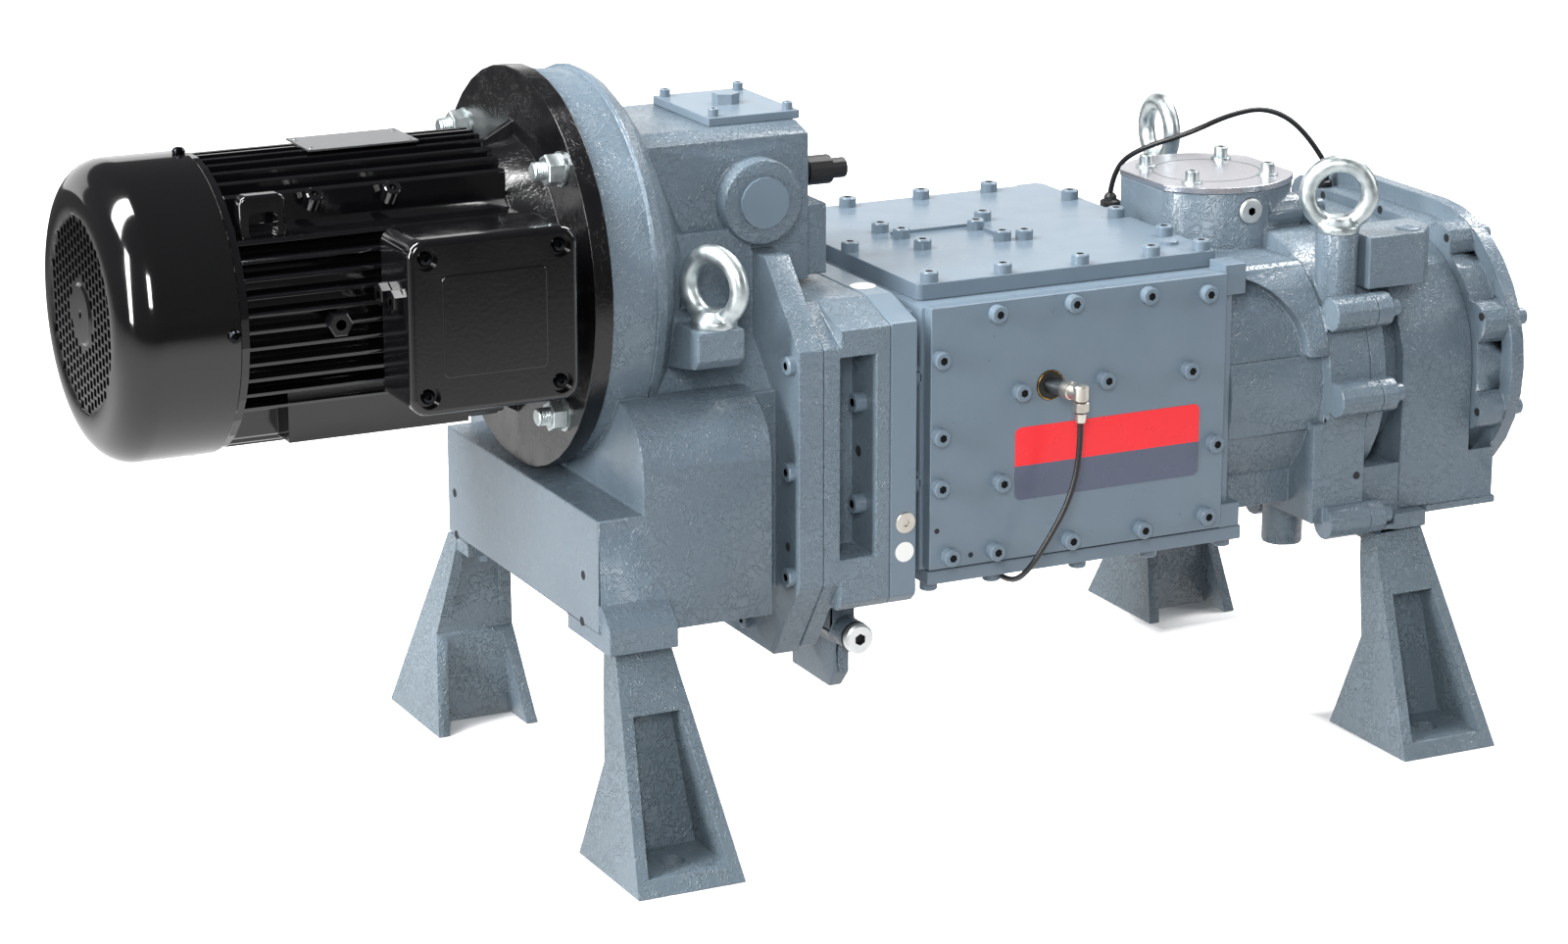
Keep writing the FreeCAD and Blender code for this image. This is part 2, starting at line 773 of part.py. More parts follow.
screws = []
for angle in (0, 90, 180, 270):
    out = V(0, math.cos(math.radians(angle)), math.sin(math.radians(angle)))
    foot = V(fan_cover_rim_x - fan_cover_screw_r - 1, 0, motor_axis_z) + out * fan_cover_r
    screws.append(peg(fan_cover_screw_r, tuple(foot), tuple(foot + out * fan_cover_screw_height)))
stand(group(screws), "fan_cover_screws")

# Shaft and cooling fan
shaft_left_x = fan_cover_face_x + 22
shaft = union([rod_x(shaft_r - running_gap, frame_left_x - 12, flange_back_x + 10, 0, motor_axis_z),
               peg(shaft_end_r, (shaft_left_x, 0, motor_axis_z), (frame_left_x - 12, 0, motor_axis_z), 16),
               peg(shaft_end_r, (flange_back_x + 10, 0, motor_axis_z),
                   (drive_gear_x + drive_gear_width + 8, 0, motor_axis_z), 16),
               peg(shaft_core_r, (core_left_x - 14, 0, motor_axis_z), (core_right_x + 14, 0, motor_axis_z), 16)])
stand(shaft, "motor_shaft")

fan_left_x = fan_cover_face_x + 24
fan_right_x = frame_left_x - 20
disc = peg(fan_r, (fan_right_x - fan_disc_thick, 0, motor_axis_z), (fan_right_x, 0, motor_axis_z), 24)
hub = peg(fan_hub_r, (fan_left_x, 0, motor_axis_z), (fan_right_x, 0, motor_axis_z), 12)
blades = []
for k in range(fan_blades):
    blade = block(fan_left_x + fan_blade_inset, fan_right_x - fan_disc_thick / 2, -fan_blade_thick / 2,
                  fan_blade_thick / 2, fan_hub_r - fan_disc_thick, fan_r - 3)
    blade.rotate(V(0, 0, 0), X, 360.0 * k / fan_blades)
    blade.translate(V(0, 0, motor_axis_z))
    blades.append(blade)
bore = peg(shaft_end_r, (fan_left_x - 1, 0, motor_axis_z), (fan_right_x + 1, 0, motor_axis_z), 16)
stand(union([disc, hub] + blades).cut(bore), "cooling_fan")


def gear(teeth, pitch_r, x0, width, y, z, bore_r, bore_sides, turn):
    module = 2 * pitch_r / teeth
    tip = pitch_r + gear_tip * module
    root = pitch_r - gear_root * module
    half = math.pi / (2 * teeth) - gear_play / pitch_r / 2
    points = []
    for n in range(teeth):
        a = turn + 2 * math.pi * n / teeth
        for r, d in ((root, -1.6 * half), (tip, -0.45 * half), (tip, 0.45 * half), (root, 1.6 * half)):
            points.append(V(x0, y + r * math.sin(a + d), z + r * math.cos(a + d)))
    solid = face_of(points).extrude(V(width, 0, 0))
    return solid.cut(peg(bore_r, (x0 - 1, y, z), (x0 + width + 1, y, z), bore_sides))


# A driving tooth sits on the line between the two shafts and a gap of the pinion faces it
mesh_angle = math.atan2(-rotor_half_gap, rotor_axis_z - motor_axis_z)
stand(gear(drive_teeth, drive_r, drive_gear_x, drive_gear_width, 0, motor_axis_z, shaft_end_r, 16, mesh_angle),
     "drive_gear")
stand(gear(pinion_teeth, pinion_r, drive_gear_x, drive_gear_width, -rotor_half_gap, rotor_axis_z, nose_r, 16,
          mesh_angle + math.pi + math.pi / pinion_teeth), "drive_pinion")
stand(gear(timing_teeth, rotor_half_gap, timing_gear_x, timing_gear_width, -rotor_half_gap, rotor_axis_z,
           nose_r, 16, math.pi / 2), "front_timing_gear")
stand(gear(timing_teeth, rotor_half_gap, timing_gear_x, timing_gear_width, rotor_half_gap, rotor_axis_z,
           nose_r, 16, -math.pi / 2 + math.pi / timing_teeth), "rear_timing_gear")


def bearing(x0, width, hole_r, r, y, z):
    # the flats of the hole lie at the given radius, so the round shaft clears them
    return sleeve(r, hole_r / math.cos(math.pi / 16), x0, x0 + width, y, z)


stand(group([bearing(x0, motor_bearing_width, shaft_r, motor_bearing_r, 0, motor_axis_z)
            for x0 in (fan_bearing_x, bearing_left_x)]), "motor_bearings")

# Terminal box on the front of the motor
box_split_y = box_front_y + box_lid_thick
box = rounded(block(box_left_x, box_right_x, box_split_y, box_back_y, box_bottom_z, box_top_z),
              box_body_corner, Y)
box = box.cut(block(box_left_x + box_wall, box_right_x - box_wall, box_split_y - 1, box_back_y - box_wall,
                    box_bottom_z + box_wall, box_top_z - box_wall))
stand(box, "terminal_box")
lid = rounded(block(box_left_x - box_lid_lip, box_right_x + box_lid_lip, box_front_y, box_split_y,
                    box_bottom_z - box_lid_lip, box_top_z + box_lid_lip), box_corner, Y)
screws = []
for x in (box_left_x + box_corner, box_right_x - box_corner):
    for z in (box_bottom_z + box_corner, box_top_z - box_corner):
        lid = lid.cut(peg(box_screw_r + 2.5, (x, box_front_y - 1, z), (x, box_front_y + 5, z)))
        screws.append(peg(box_screw_r, (x, box_front_y + 1, z), (x, box_front_y + 5, z)))
stand(lid, "terminal_box_lid")
stand(group(screws), "terminal_box_screws")
plug_z = box_mid_z + plug_z_above_middle
stand(group([peg(plug_r, (box_left_x - plug_length, y, plug_z), (box_left_x, y, plug_z), 12) for y in plug_depths]),
      "cable_entry_plugs")
stand(block(nameplate_left_x, nameplate_left_x + nameplate_length, -nameplate_width / 2, nameplate_width / 2,
                   motor_axis_z + fin_tip_r, motor_axis_z + fin_tip_r + nameplate_thick), "motor_nameplate")

# Gearbox housing
pieces = [block(sump_left_x, shoulder_left_x + 40, -sump_half_y, sump_rear_y, sump_bottom_z, sump_top_z)]
for side, reach, left_x in ((-1, foot_pad_y, foot_pad_left_x),
                            (1, foot_pad_y - foot_pad_rear_inset, foot_pad_left_x + foot_pad_slope)):
    outline = [(side * foot_pad_inner_y, 0), (side * reach, 0), (side * reach, foot_pad_thick),
               (side * (reach - foot_pad_slope), foot_pad_top_z), (side * foot_pad_inner_y, foot_pad_top_z)]
    pieces.append(slab_x(outline, left_x, foot_pad_right_x))
shoulder = block(shoulder_left_x, shoulder_right_x, -sump_half_y, sump_half_y, shoulder_bottom_z, shoulder_top_z)
pieces.append(rounded(shoulder, shoulder_round, X, lambda c: c.z > shoulder_top_z - 1))
neck = [(flange_back_x, bell_front_r), (bell_step_x, bell_neck_r)]
pieces.append(turned(neck + [(bell_step_x + d, r) for d, r in bell_dome], 0, motor_axis_z))
skirt = [(-bell_body_skirt_y, shoulder_back_top_z), (bell_body_skirt_y, shoulder_back_top_z),
         (bell_body_y, bell_body_skirt_z), (bell_body_y, bell_body_top_z), (-bell_body_y, bell_body_top_z),
         (-bell_body_y, bell_body_skirt_z)]
pieces.append(slab_x(skirt, bell_body_x, plate_left_x))
crown_z = top_box_z - top_box_chamfer
box_outline = [(top_box_front_y, crown_z), (top_box_front_y + top_box_front_slope, top_box_z),
               (top_box_rear_y - top_box_rear_slope, top_box_z), (top_box_rear_y, crown_z)]
pieces.append(slab_x([(top_box_front_y, top_box_bottom_z)] + box_outline + [(top_box_rear_y, top_box_bottom_z)],
                     bell_body_x, plate_right_x))
pieces.append(slab_x([(top_box_front_y, shelf_bottom_z)] + box_outline + [(top_box_rear_y, shelf_bottom_z)],
                     plate_right_x, top_box_right_x))
pieces.append(block(plate_right_x, shelf_right_x, top_box_front_y + 10, top_box_rear_y, shelf_bottom_z, shelf_top_z))
for side in (-1, 1):
    outline = [(side * eye_pad_inner_y, eye_pad_heel_z), (side * (eye_pad_y - eye_pad_chamfer), eye_pad_front_z - 9),
               (side * eye_pad_y, eye_pad_front_z), (side * eye_pad_y, eye_pad_top_z),
               (side * eye_pad_inner_y, eye_pad_top_z)]
    pieces.append(slab_x(outline, eye_pad_left_x, eye_pad_right_x))
pieces.append(block(shoulder_right_x - 10, plate_left_x, -shoulder_back_y, shoulder_back_y, shoulder_back_bottom_z,
                    shoulder_back_top_z))
flange = [(-plate_half_y, plate_low_z), (-plate_half_y, plate_shoulder_z), (-plate_shoulder_y, plate_top_z),
          (plate_shoulder_y, plate_top_z), (plate_half_y, plate_shoulder_z), (plate_half_y, plate_low_z),
          (plate_foot_y, plate_foot_z), (-plate_foot_y, plate_foot_z)]
pieces.append(slab_x(flange, plate_left_x, plate_right_x))
pieces.append(peg(boss_r, (boss_x, boss_front_y, boss_z), (boss_x, 0, boss_z), 32))
spigot_hole = turned([(flange_back_x - 1, flange_spigot_r), (gear_case_left_x - 8, flange_spigot_r)], 0, motor_axis_z)
cuts = [spigot_hole]
cuts.append(peg(nose_r + 4, (gear_case_left_x - 9, 0, motor_axis_z), (gear_case_left_x + 1, 0, motor_axis_z), 16))
cuts.append(peg(drive_case_r + 1, (gear_case_left_x, 0, motor_axis_z), (gear_room_right_x, 0, motor_axis_z), 32))
cuts.append(block(gear_case_left_x, gear_room_right_x, -rotor_half_gap, rotor_half_gap, rotor_axis_z, motor_axis_z))
cuts.append(stadium(timing_case_r + 1, gear_case_left_x, plate_right_x + 1, 12))
for y, z in stud_places:
    cuts.append(peg(stud_r + fit_gap, (flange_back_x - 1, y, z), (flange_back_x + stud_reach + 1, y, z)))
for x, y, z in left_eyes:
    cuts.append(peg(eye_hole_r, (x, y, z - eye_shank_length), (x, y, z + 1)))
housing = union(pieces).cut(cuts + leg_bolt_holes()).removeSplitter()
stand(housing, "gearbox_housing")

# Boss cap, top cover with its screws, filler plug and level sensor of the gearbox
stand(peg(boss_cap_r, (boss_x, boss_front_y - boss_cap_thick, boss_z), (boss_x, boss_front_y, boss_z), 16),
     "gearbox_boss_cap")
top_plate_top_z = top_box_z + top_plate_thick
stand(block(top_plate_left_x, top_plate_right_x, top_plate_front_y, top_plate_rear_y, top_box_z, top_plate_top_z),
     "gearbox_top_cover")
inset = gearbox_screw_inset
places = [(x, y, top_plate_top_z) for x in (top_plate_left_x + inset, top_plate_right_x - inset)
          for y in (top_plate_front_y + inset, top_plate_rear_y - inset)]
stand(group(heads(places, Z, gearbox_screw_r, gearbox_screw_height)), "gearbox_top_screws")
filler_x = (top_plate_left_x + top_plate_right_x) / 2
stand(peg(filler_r, (filler_x, filler_y, top_plate_top_z), (filler_x, filler_y, top_plate_top_z + filler_height), 6),
     "oil_filler_plug")
pieces = []
ends = [d for d, r in level_sensor_stations[1:]] + [level_sensor_length]
for (d, r), end in zip(level_sensor_stations, ends):
    pieces.append(peg(r, (top_box_right_x + d, level_sensor_y, level_sensor_z),
                      (top_box_right_x + end, level_sensor_y, level_sensor_z), 12))
stand(union(pieces), "oil_level_sensor")

# Head plate with its open slots
narrow = [(-plate_half_y, plate_low_z), (-plate_half_y, plate_shoulder_z), (-head_top_y, head_top_z),
          (head_top_y, head_top_z), (plate_half_y, plate_shoulder_z), (plate_half_y, plate_low_z),
          (plate_foot_y + 5, plate_foot_z + 5), (-plate_foot_y - 5, plate_foot_z + 5)]


def plate_outline(shoulder_z):
    # the outline shared by the wide part of the head plate and the middle plate
    foot_z = head_low_z - head_corner
    corner_y = plate_half_y - head_corner
    return [(-plate_half_y, head_low_z), (-plate_half_y, shoulder_z), (-head_top_y, head_top_z),
            (head_top_y, head_top_z), (plate_half_y, shoulder_z), (plate_half_y, head_low_z), (corner_y, foot_z),
            (-corner_y, foot_z)]


pieces = [slab_x(narrow, plate_right_x, slot_left_x), slab_x(plate_outline(head_shoulder_z), slot_left_x, head_right_x)]
tab_x = drain_x - 8
pieces.append(slab_x([(tab_left_y, tab_bottom_z + tab_corner_z), (tab_left_y + tab_corner_y, tab_bottom_z),
                      (tab_right_y, tab_bottom_z), (tab_right_y, head_low_z), (tab_left_y, head_low_z)],
                     tab_x, tab_x + tab_thick))
pieces.append(peg(drain_r, (drain_x, drain_front_y, drain_z), (drain_x, drain_back_y, drain_z), 16))
pieces.append(block(drain_x - drain_r, drain_x + 10, drain_front_y + 20, drain_back_y, drain_z, head_low_z))
cuts = []
for side in (-1, 1):
    y = side * rotor_half_gap
    cuts.append(block(slot_left_x, slot_right_x, side * (plate_half_y + 1), side * (plate_half_y - slot_depth),
                      slot_bottom_z, slot_top_z))
    cuts.append(bearing_seat(plate_right_x - 1, plate_right_x + rotor_bearing_width, rotor_bearing_r, y,
                             rotor_axis_z))
    cuts.append(peg(seal_r, (plate_right_x, y, rotor_axis_z), (head_right_x + 1, y, rotor_axis_z), 16))
stand(union(pieces).cut(cuts).removeSplitter(), "head_plate")
stand(peg(drain_r + 0.5, (drain_x, drain_front_y - drain_plug_length, drain_z), (drain_x, drain_front_y, drain_z), 16),
      "oil_drain_plug")

middle = slab_x(plate_outline(head_shoulder_z + 1), head_right_x, middle_right_x)
for side in (-1, 1):
    y = side * rotor_half_gap
    middle = middle.cut(peg(seal_r, (head_right_x - 1, y, rotor_axis_z), (middle_right_x + 1, y, rotor_axis_z), 16))
stand(middle, "middle_plate")

# Cap screws that clamp the gearbox flange and the slotted head plate
places = [(plate_left_x, y, z) for y, z in flange_screw_places]
stand(group(heads(both(places), (-1, 0, 0), flange_head_r, flange_head_height)), "flange_cap_screws")
places = [(slot_right_x, y, z) for y, z in slot_screw_places]
stand(group(heads(both(places), (-1, 0, 0), slot_head_r, slot_head_height)), "slot_cap_screws")

# Stator body, a block bored for the two screws
pieces = [block(body_left_x, body_right_x, -body_half_y, body_half_y, body_bottom_z, body_top_z)]
pieces.append(block(middle_right_x, body_left_x, -neck_half_y, neck_half_y, neck_bottom_z, neck_top_z))
ear_left_x = side_cover_right_x + fit_gap
for side in (-1, 1):
    for z in neck_post_heights:
        pieces.append(peg(neck_post_r, (middle_right_x, side * neck_post_y, z), (body_left_x, side * neck_post_y, z)))
    for z0, z1 in ((ear_high_bottom_z, ear_high_top_z), (body_bottom_z + 1, ear_low_top_z)):
        pieces.append(block(ear_left_x, ear_right_x, side * ear_inner_y, side * ear_half_y, z0, z1))
cuts = [lobes(bore_r, middle_right_x + 8, body_right_x + 20)]
for side in (-1, 1):
    y = side * rotor_half_gap
    cuts.append(peg(seal_r, (middle_right_x - 1, y, rotor_axis_z), (middle_right_x + 9, y, rotor_axis_z), 16))
stand(union(pieces).cut(cuts).removeSplitter(), "stator_body")

stand(rounded(block(top_cover_left_x, top_cover_right_x, -top_cover_half_y, top_cover_half_y, body_top_z,
                   cover_top_z), 6, Z), "top_cover")
side_cover = block(side_cover_left_x, side_cover_right_x, front_cover_y, -body_half_y, side_cover_bottom_z,
                   side_cover_top_z)
sensor_hole = peg(sensor_hole_r, (sensor_x, front_cover_y - 1, sensor_z), (sensor_x, -body_half_y + 1, sensor_z), 16)
stand(side_cover.cut(sensor_hole), "front_side_cover")
stand(side_cover.mirror(V(0, 0, 0), Y), "rear_side_cover")
bottom_z = body_bottom_z - bottom_cover_thick
stand(block(bottom_cover_left_x, bottom_cover_right_x, -bottom_cover_half_y, bottom_cover_half_y, bottom_z,
           body_bottom_z), "bottom_cover")

edge_y = top_cover_half_y - top_screw_inset
top_places = [(x, -edge_y, cover_top_z) for x in top_front_screws] + [(x, edge_y, cover_top_z) for x in top_rear_screws]
top_places += [(x, y, cover_top_z) for x, y in top_inner_screws]
screws = heads(top_places, Z, cap_head_r, cap_head_height, 6)
for side in (-1, 1):
    places = [(x, -side * front_cover_y, z) for x, z in side_screws]
    screws += heads(places, (0, side, 0), cap_head_r, cap_head_height, 6)
edge_y = bottom_cover_half_y - bottom_screw_inset
screws += heads(both([(x, edge_y, bottom_z) for x in bottom_screws]), (0, 0, -1), cap_head_r, cap_head_height, 6)
stand(group(screws), "pump_cover_screws")

# Temperature sensors: one in the front side cover with its elbow plug, one on top of the end ring
plug_x = sensor_x + sensor_elbow_x
plug_y = front_cover_y - sensor_elbow_y
front_sensor = union([peg(9, (sensor_x, -body_half_y, sensor_z), (sensor_x, front_cover_y - 14, sensor_z), 12),
                      peg(7, (sensor_x, front_cover_y - 13, sensor_z), (plug_x, plug_y, sensor_z), 12),
                      peg(6.5, (plug_x, plug_y, sensor_z - sensor_plug_drop), (plug_x, plug_y, sensor_z + 6), 12)])
end_sensor_top_z = end_sensor_seat_z + end_sensor_height
end_sensor = union([peg(8, (end_sensor_x, end_sensor_y, end_sensor_seat_z),
                        (end_sensor_x, end_sensor_y, end_sensor_seat_z + 10), 6),
                    peg(6, (end_sensor_x, end_sensor_y, end_sensor_seat_z + 10),
                        (end_sensor_x, end_sensor_y, end_sensor_top_z), 12)])
stand(group([front_sensor, end_sensor]), "temperature_sensors")


def cable(points):
    # straight runs joined by tangent arcs, each arc as large as its two runs allow
    spots = [V(*p) for p in points]
    edges = []
    start = spots[0]
    length = 0
    for before, at, after in zip(spots, spots[1:], spots[2:]):
        into = (at - before).normalize()
        out = (after - at).normalize()
        turn = into.getAngle(out)
        reach = 0.45 * min(before.distanceToPoint(at), at.distanceToPoint(after))
        radius = reach / math.tan(turn / 2)
        first = at - into * reach
        last = at + out * reach
        toward = (out - into).normalize()
        middle = at + toward * (radius / math.cos(turn / 2) - radius)
        edges.append(Part.makeLine(start, first))
        edges.append(Part.Arc(first, middle, last).toShape())
        length += start.distanceToPoint(first) + radius * turn
        start = last
        print("cable arc radius", round(radius, 1), "turn", round(math.degrees(turn), 1))
    edges.append(Part.makeLine(start, spots[-1]))
    length += start.distanceToPoint(spots[-1])
    # the round section is drawn with few sides, like the other small round pieces
    sides = 6
    run = (spots[1] - spots[0]).normalize()
    spin = FreeCAD.Rotation(Z, run)
    ring = []
    for k in range(sides):
        a = 2 * math.pi * k / sides
        ring.append(spots[0] + spin.multVec(V(cable_r * math.cos(a), cable_r * math.sin(a), 0)))
    section = Part.makePolygon(ring + [ring[0]])
    tube = Part.Wire(edges).makePipeShell([section], True, False)
    area = sides / 2 * cable_r ** 2 * math.sin(2 * math.pi / sides)
    print("cable volume", round(tube.Volume), "of", round(area * length), "length", round(length))
    return tube


plug_end_z = sensor_z - sensor_plug_drop
front_route = [(plug_x, plug_y, plug_end_z), (plug_x, plug_y, plug_end_z - 32),
               (plug_x - 9, plug_y + 1, plug_end_z - 68),
               (plug_x - 27, plug_y + 3, plug_end_z - 100), (plug_x - 41, plug_y + 12, plug_end_z - 129),
               (plug_x - 42, plug_y + 36, plug_end_z - 147), (plug_x - 40, plug_y + 64, gland_z),
               (plug_x - 40, plug_y + 94, gland_z)]
dome_top_z = dome_pad_z + dome_height
rear_route = [(dome_x, dome_y, dome_top_z + 0.5), (dome_x + 1, dome_y - 5, dome_top_z + 26),
              (dome_x + 13, dome_y - 30, dome_top_z + 48), (dome_x + 47, dome_y - 65, dome_top_z + 66),
              (dome_x + 89, dome_y - 73, dome_top_z + 83), (dome_x + 132, dome_y - 73, dome_top_z + 86),
              (end_sensor_x - 23, end_sensor_y, end_sensor_top_z + 35),
              (end_sensor_x, end_sensor_y, end_sensor_top_z + 1.5)]
stand(cable(front_route), "front_sensor_cable")
stand(cable(rear_route), "rear_sensor_cable")

# Cable glands: one below the bottom cover and the dome on the rear of the inlet housing
gland_x = plug_x - 40
gland_y = plug_y + 94
nose = peg(gland_r, (gland_x, gland_y, gland_z), (gland_x, gland_y + 12, gland_z), 12)
foot = block(gland_x - 8, gland_x + 8, gland_y + 8, gland_y + 26, gland_z - 8, bottom_z)
dome = union([peg(dome_r, (dome_x, dome_y, dome_pad_z), (dome_x, dome_y, dome_pad_z + 9), 12),
              peg(gland_r, (dome_x, dome_y, dome_pad_z + 9), (dome_x, dome_y, dome_top_z), 12)])
stand(group([union([nose, foot]), dome]), "cable_glands")

# Screw rotors. The square thread is a section twisted along the axis, and the two
# rotors have opposite hands so that each thread runs in the groove of the other.
rotor_left_x = middle_right_x + 8 + rotor_end_gap
rotor_right_x = body_right_x + 4


def screw_thread(y, hand, start):
    half = math.pi * thread_share
    section = [(screw_outer_r, -half + half * 2 * k / 4) for k in range(5)]
    section += [(screw_root_r, half + (2 * math.pi - 2 * half) * k / 5) for k in range(6)]
    count = int(round((rotor_right_x - rotor_left_x) / screw_pitch * 360 / screw_turn_step))
    rows = []
    for n in range(count + 1):
        run = (rotor_right_x - rotor_left_x) * n / count
        turn = start + hand * 2 * math.pi * run / screw_pitch
        rows.append([V(rotor_left_x + run, y + r * math.sin(a + turn), rotor_axis_z + r * math.cos(a + turn))
                     for r, a in section])
    return skin(rows, False)


def screw_rotor(y, hand, start, nose_x):
    left = rod_x(rotor_shaft_r - running_gap, plate_right_x, rotor_left_x, y, rotor_axis_z)
    right = rod_x(rotor_shaft_r - running_gap, rotor_right_x, inlet_right_x + rotor_bearing_width, y, rotor_axis_z)
    nose = peg(nose_r, (nose_x, y, rotor_axis_z), (plate_right_x, y, rotor_axis_z), 16)
    return screw_thread(y, hand, start).fuse([left, right, nose])


stand(screw_rotor(-rotor_half_gap, 1, 0.0, drive_gear_x - 3), "front_screw_rotor")
stand(screw_rotor(rotor_half_gap, -1, math.pi, timing_gear_x - 3), "rear_screw_rotor")

# Rotor bearings and shaft seals, one of each at both ends of each rotor
rings = []
seals = []
for side in (-1, 1):
    y = side * rotor_half_gap
    for x0 in (plate_right_x, inlet_right_x):
        rings.append(bearing(x0, rotor_bearing_width, rotor_shaft_r, rotor_bearing_r, y, rotor_axis_z))
    for x0 in (head_right_x, inlet_right_x - seal_width - 4):
        seals.append(sleeve(seal_r, seal_r - seal_wall + 1, x0, x0 + seal_width, y, rotor_axis_z, 16))
stand(group(rings), "rotor_bearings")
stand(group(seals), "shaft_seals")

# Inlet housing with the flat sided boss on top and the lobed end flange
lobe_places = both([(0, y, z) for y, z in lobe_centres + [(low_lobe_y, low_lobe_z)]])


def flange_lobes(x0, x1):
    return [peg(end_lobe_r, (x0, y, z), (x1, y, z), 12) for x, y, z in lobe_places]


boss = rod_z(inlet_boss_r, boss_bottom_z, inlet_boss_top_z, inlet_x, 0)
flats = block(inlet_x - inlet_boss_flat, inlet_x + inlet_boss_flat, -inlet_boss_r - 5, inlet_boss_r + 5,
              boss_bottom_z - 5, inlet_boss_top_z + 20)
# the upper shell is cut away by an arch on each side, where the round of the bores shows
shell = stadium(shell_r, body_right_x, inlet_flange_x + 1)
shell_y = rotor_half_gap + shell_r
shell = shell.common(block(body_right_x, inlet_flange_x + 1, -shell_y, shell_y, beam_top_z, roof_z))
arch = [peg(arch_r, (arch_x, -shell_y - 1, arch_z), (arch_x, shell_y + 1, arch_z), 32)]
arch.append(block(body_right_x - 1, arch_x, -shell_y - 1, shell_y + 1, beam_top_z - 1, arch_z + arch_r))
barrel = stadium(barrel_r, body_right_x, inlet_right_x)
barrel = barrel.common(block(body_right_x, inlet_right_x, -shell_y, shell_y, rotor_axis_z - barrel_r, roof_z))
pieces = [boss.common(flats), barrel, shell.cut(arch)]
pieces.append(block(body_right_x, inlet_right_x, -inlet_block_y, inlet_block_y, inlet_block_bottom_z, rotor_axis_z))
for side in (-1, 1):
    pieces.append(block(body_right_x, inlet_flange_x + 5, side * beam_inner_y, side * body_half_y, beam_bottom_z,
                        beam_top_z))
for x, y, z in right_eyes:
    pad = peg(right_eye_pad_r, (x, y, right_eye_pad_bottom_z), (x, y, z), 16)
    pieces.append(pad.common(block(inlet_flange_x - right_eye_pad_r, inlet_right_x, y - right_eye_pad_r,
                                   y + right_eye_pad_r, right_eye_pad_bottom_z, z)))
pieces.append(block(dome_x - dome_pad_half_x, dome_x + dome_pad_half_x, dome_y - dome_pad_half_y,
                    dome_y + dome_pad_half_y, beam_top_z, dome_pad_z))
pieces.append(stadium(end_flange_r, inlet_flange_x, inlet_right_x))
pieces += flange_lobes(inlet_flange_x, inlet_right_x)
pieces.append(block(inlet_flange_x - 12, inlet_right_x, -flange_foot_y, flange_foot_y, flange_foot_bottom_z,
                    flange_foot_top_z))
pieces.append(peg(stub_r, (stub_x, stub_y, stub_bottom_z), (stub_x, stub_y, flange_foot_bottom_z + 4), 16))
cuts = [peg(inlet_port_r, (inlet_x, 0, rotor_axis_z), (inlet_x, 0, inlet_boss_top_z + 1), 32)]
cuts.append(block(inlet_right_x, inlet_x + inlet_boss_r, -inlet_boss_r, inlet_boss_r, roof_z - 42, boss_step_z))
cuts.append(lobes(bore_r, body_right_x - 1, inlet_right_x - inlet_wall))
for side in (-1, 1):
    y = side * rotor_half_gap
    cuts.append(peg(seal_r, (inlet_right_x - inlet_wall - 1, y, rotor_axis_z), (inlet_right_x + 1, y, rotor_axis_z),
                    16))
for x, y, z in right_eyes:
    cuts.append(peg(eye_hole_r, (x, y, z - eye_shank_length), (x, y, z + 1)))
stand(union(pieces).cut(cuts).removeSplitter(), "inlet_housing")

inlet_plate_top_z = inlet_boss_top_z + inlet_plate_thick
plate = rod_z(inlet_boss_r + 1, inlet_boss_top_z, inlet_plate_top_z, inlet_x, 0)
stand(plate.common(flats), "inlet_cover_plate")
offset = inlet_screw_circle_r / math.sqrt(2)
screws = []
for x in (inlet_x - offset, inlet_x + offset):
    for y in (-offset, offset):
        washer = peg(inlet_washer_r, (x, y, inlet_plate_top_z), (x, y, inlet_plate_top_z + inlet_washer_height), 12)
        head = peg(inlet_screw_r, (x, y, inlet_plate_top_z), (x, y, inlet_plate_top_z + inlet_screw_height))
        screws.append(union([washer, head]))
stand(group(screws), "inlet_cover_screws")
side_plug_x = inlet_x - 1
stand(peg(side_plug_r, (side_plug_x, -inlet_boss_r - 3, side_plug_z), (side_plug_x, -inlet_boss_r, side_plug_z), 12),
      "inlet_side_plug")

# End bearing plate, end cover and its ring
half_y = drum_r + rotor_half_gap
pieces = [stadium(end_flange_r, inlet_right_x, end_plate_rim_x)] + flange_lobes(inlet_right_x, end_plate_rim_x)
pieces.append(stadium(end_plate_hub_r, end_plate_rim_x, end_plate_right_x))
pieces.append(block(inlet_right_x, end_plate_right_x, -half_y, half_y, drum_bottom_z, end_bar_top_z))
cuts = leg_bolt_holes()
lugs = []
for side in (-1, 1):
    outline = [V(inlet_right_x, side * lug_inner_y, lug_bottom_z), V(lug_right_x, side * lug_inner_y, lug_bottom_z),
               V(lug_right_x, side * (lug_outer_y - lug_chamfer_y), lug_bottom_z),
               V(lug_right_x - lug_chamfer_x, side * lug_outer_y, lug_bottom_z),
               V(inlet_right_x, side * lug_outer_y, lug_bottom_z)]
    lugs.append(face_of(outline).extrude(V(0, 0, lug_top_z - lug_bottom_z)))
    pieces.append(block(leg_pad_left_x, leg_pad_right_x, side * leg_pad_inner_y, side * leg_pad_outer_y, 0,
                        drum_bottom_z))
    cuts.append(bearing_seat(inlet_right_x - 1, inlet_right_x + rotor_bearing_width, rotor_bearing_r,
                             side * rotor_half_gap, rotor_axis_z))
    # a pocket in the leg pad leaves room for the head of the lowest flange screw
    cuts.append(peg(cap_head_r + 3, (end_plate_rim_x, side * low_lobe_y, low_lobe_z),
                    (end_plate_rim_x + 16, side * low_lobe_y, low_lobe_z)))
stand(union(pieces + lugs).cut(cuts).removeSplitter(), "end_bearing_plate")

